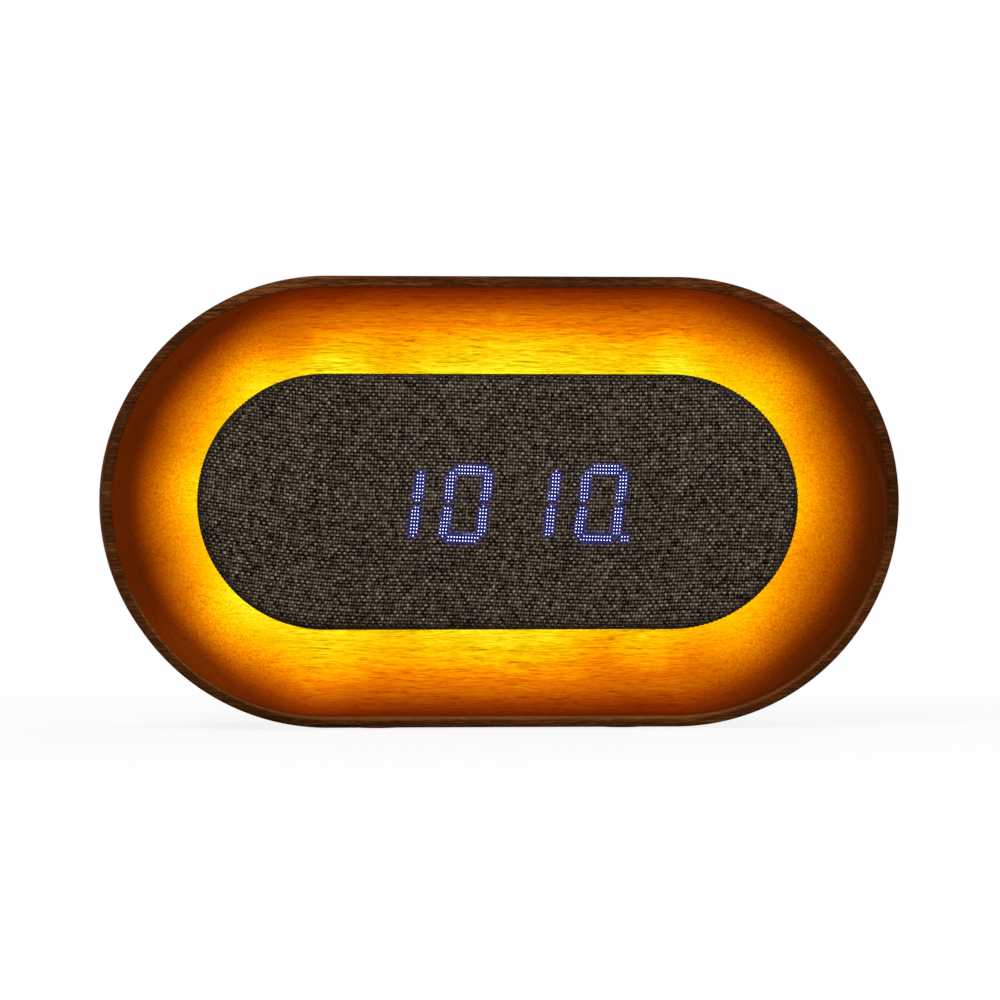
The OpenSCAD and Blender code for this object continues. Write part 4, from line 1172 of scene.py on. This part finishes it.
board = Finish("circuit_board")
spot = board.place()
x, _, height = board.split(spot)
region = board.node("ShaderNodeTexVoronoi", {"distance": "CHEBYCHEV"}, {
    "Vector": board.stretch(spot, REGION_CYCLES), "Scale": 1.0}, "Color")
which = board.split(region)[0]
level_tracks = ((height * TRACK_TURN).sine() > TRACK_EDGE) * (which < LEVEL_BELOW)
upright_tracks = ((x * TRACK_TURN).sine() > TRACK_EDGE) * (which > UPRIGHT_ABOVE)
tracks = level_tracks + upright_tracks
holes = board.node("ShaderNodeTexVoronoi", None, {
    "Vector": board.stretch(spot, HOLE_CYCLES), "Scale": 1.0}, "Distance")
plated = holes < HOLE_SIZE
resist = board.mix(tracks * 0.7, linear(10, 58, 28), linear(30, 96, 50))
resist = board.mix(plated, resist, linear(205, 170, 92))
mottle = board.noise(spot, MOTTLE_CYCLES, detail=3.0)
FINISHES["circuit_board"] = board.surface(
    Base_Color=resist, Metallic=plated * 0.9, Roughness=0.3 + mottle * 0.2,
    Normal=board.bump(tracks, TRACK_RELIEF))

CONDUCTOR_TURN = 6.3
CONDUCTOR_EDGE = -0.2
CONDUCTOR_RELIEF = 0.02
HAZE_CYCLES = (0.8, 0.8, 0.8)

film = Finish("ribbon")
spot = film.place()
copper = (film.split(spot)[0] * CONDUCTOR_TURN).sine() > CONDUCTOR_EDGE
haze = film.noise(spot, HAZE_CYCLES, detail=3.0)
gold = film.mix(copper, linear(196, 110, 30), linear(150, 74, 22))
FINISHES["ribbon"] = film.surface(Base_Color=gold, Roughness=0.25 + haze * 0.2,
                                  Normal=film.bump(copper, CONDUCTOR_RELIEF))

CREASE_CYCLES = (0.18, 0.18, 0.35)
CREASE_RELIEF = 0.5

foil = Finish("battery_foil")
creases = foil.noise(foil.place(), CREASE_CYCLES, detail=5.0, roughness=0.65, distortion=0.6)
FINISHES["battery_foil"] = foil.surface(
    Base_Color=foil.ramp(creases, shades(linear(186, 188, 194), 0.12)), Metallic=1.0,
    Roughness=0.28 + creases * 0.2, Normal=foil.bump(creases, CREASE_RELIEF))

CAP_Z = 0.6
MARK_DEPTH = 0.25
MARK_SPAN = (0.6, 1.4)
CAP_CYCLES = (4.0, 4.0, 4.0)
CAP_RELIEF = 0.02

cap = Finish("button_plastic")
spot = cap.place()
below_cap = BODY_D / 2 - CAP_Z - cap.split(spot)[1]
in_mark = (below_cap > MARK_DEPTH * MARK_SPAN[0]) * (below_cap < MARK_DEPTH * MARK_SPAN[1])
texture = cap.noise(spot, CAP_CYCLES, detail=3.0, roughness=0.6)
grey = cap.ramp(texture, shades(linear(52, 50, 49), 0.15))
grey = cap.mix(in_mark, grey, linear(196, 194, 188))
FINISHES["button_plastic"] = cap.surface(
    Base_Color=grey, Roughness=0.45 + texture * 0.15, Specular_IOR_Level=0.35,
    Normal=cap.bump(texture, CAP_RELIEF))
print("detailed finishes:", len(FINISHES))

# %% [markdown]
# ## What gives the light
# The strip's lamps and the milky band in front of them are lit. They sit behind the panel, so from the
# front only their glow shows, and from a low angle the band itself. The white core next to them and the
# strip's board between its pads are given a faint painted amber glow, as if lit by the lamps.

# %% Lit pieces behind the panel
AMBER = (1.0, 0.50, 0.055)
BAND_STRENGTH = 1.6
BAND_GLOWS = [(0.3, (0.85, 0.36, 0.03)), (0.7, (1.0, 0.58, 0.09))]
BAND_CLOUD_CYCLES = (0.09, 0.09, 0.09)
LAMP_STRENGTH = 4.0
LAMP_GLOWS = [(0.3, AMBER), (0.7, (1.0, 0.62, 0.12))]
LAMP_CYCLES = (3.0, 3.0, 3.0)
STRIP_GLOW_STRENGTH = 0.3
PAD_TURNS = (1.9, 2.4)
PAD_EDGES = (0.82, 0.1)
CORE_PAINTED_GLOW = (0.75, 0.30, 0.02)
CORE_GLOW_R = (24.0, 28.5)
CORE_CYCLES = (3.0, 3.0, 3.0)
CORE_RELIEF = 0.02

band = Finish("diffuser")
warm = band.ramp(band.noise(band.place(), BAND_CLOUD_CYCLES, detail=2.0), BAND_GLOWS)
FINISHES["diffuser"] = band.surface(Base_Color=linear(240, 225, 190), Roughness=0.5,
                                    Emission_Color=warm, Emission_Strength=BAND_STRENGTH)

lamp = Finish("amber_led")
grains = lamp.noise(lamp.place(), LAMP_CYCLES, detail=2.0)
FINISHES["amber_led"] = lamp.surface(
    Base_Color=linear(242, 200, 90), Roughness=0.25, Emission_Strength=LAMP_STRENGTH,
    Emission_Color=lamp.ramp(grains, LAMP_GLOWS))

strip = Finish("light_strip")
x, depth, _ = strip.split(strip.place())
pads = ((x * PAD_TURNS[0]).sine() > PAD_EDGES[0]) * ((depth * PAD_TURNS[1]).sine() > PAD_EDGES[1])
white = strip.mix(pads, linear(228, 224, 210), linear(200, 150, 80))
# painted amber glow on the strip's board between its pads, as if lit by its lamps
FINISHES["light_strip"] = strip.surface(
    Base_Color=white, Roughness=0.4, Metallic=pads * 0.8,
    Emission_Color=strip.mix(pads, AMBER, BLACK), Emission_Strength=STRIP_GLOW_STRENGTH)

core = Finish("core_plastic")
spot = core.place()
x, _, height = core.split(spot)
outward = off_middle(x, height - CENTRE_HEIGHT)
texture = core.noise(spot, CORE_CYCLES, detail=3.0)
# painted amber glow on the core's outer edge, as if lit by the lamps beside it
FINISHES["core_plastic"] = core.surface(
    Base_Color=core.ramp(texture, shades(linear(214, 211, 200), 0.05)), Roughness=0.5,
    Emission_Color=core.mix(outward.step(*CORE_GLOW_R), BLACK, CORE_PAINTED_GLOW), Emission_Strength=1.0,
    Normal=core.bump(texture, CORE_RELIEF))
print("lit finishes: diffuser, lamps, strip and core")

# %% [markdown]
# ## Dressing the pieces
# Every CAD piece takes the finish that has the name of its material slot. The digits have theirs
# already, and the cloth is a piece of this script's own.

# %% Dress every CAD piece
bare = []
for subpart in frame["record"]["subparts"]:
    if subpart["material_slot"] in FINISHES:
        dress(subpart["node"], FINISHES[subpart["material_slot"]])
    else:
        bare.append(subpart["node"])
print("pieces with a finish of their own elsewhere:", bare)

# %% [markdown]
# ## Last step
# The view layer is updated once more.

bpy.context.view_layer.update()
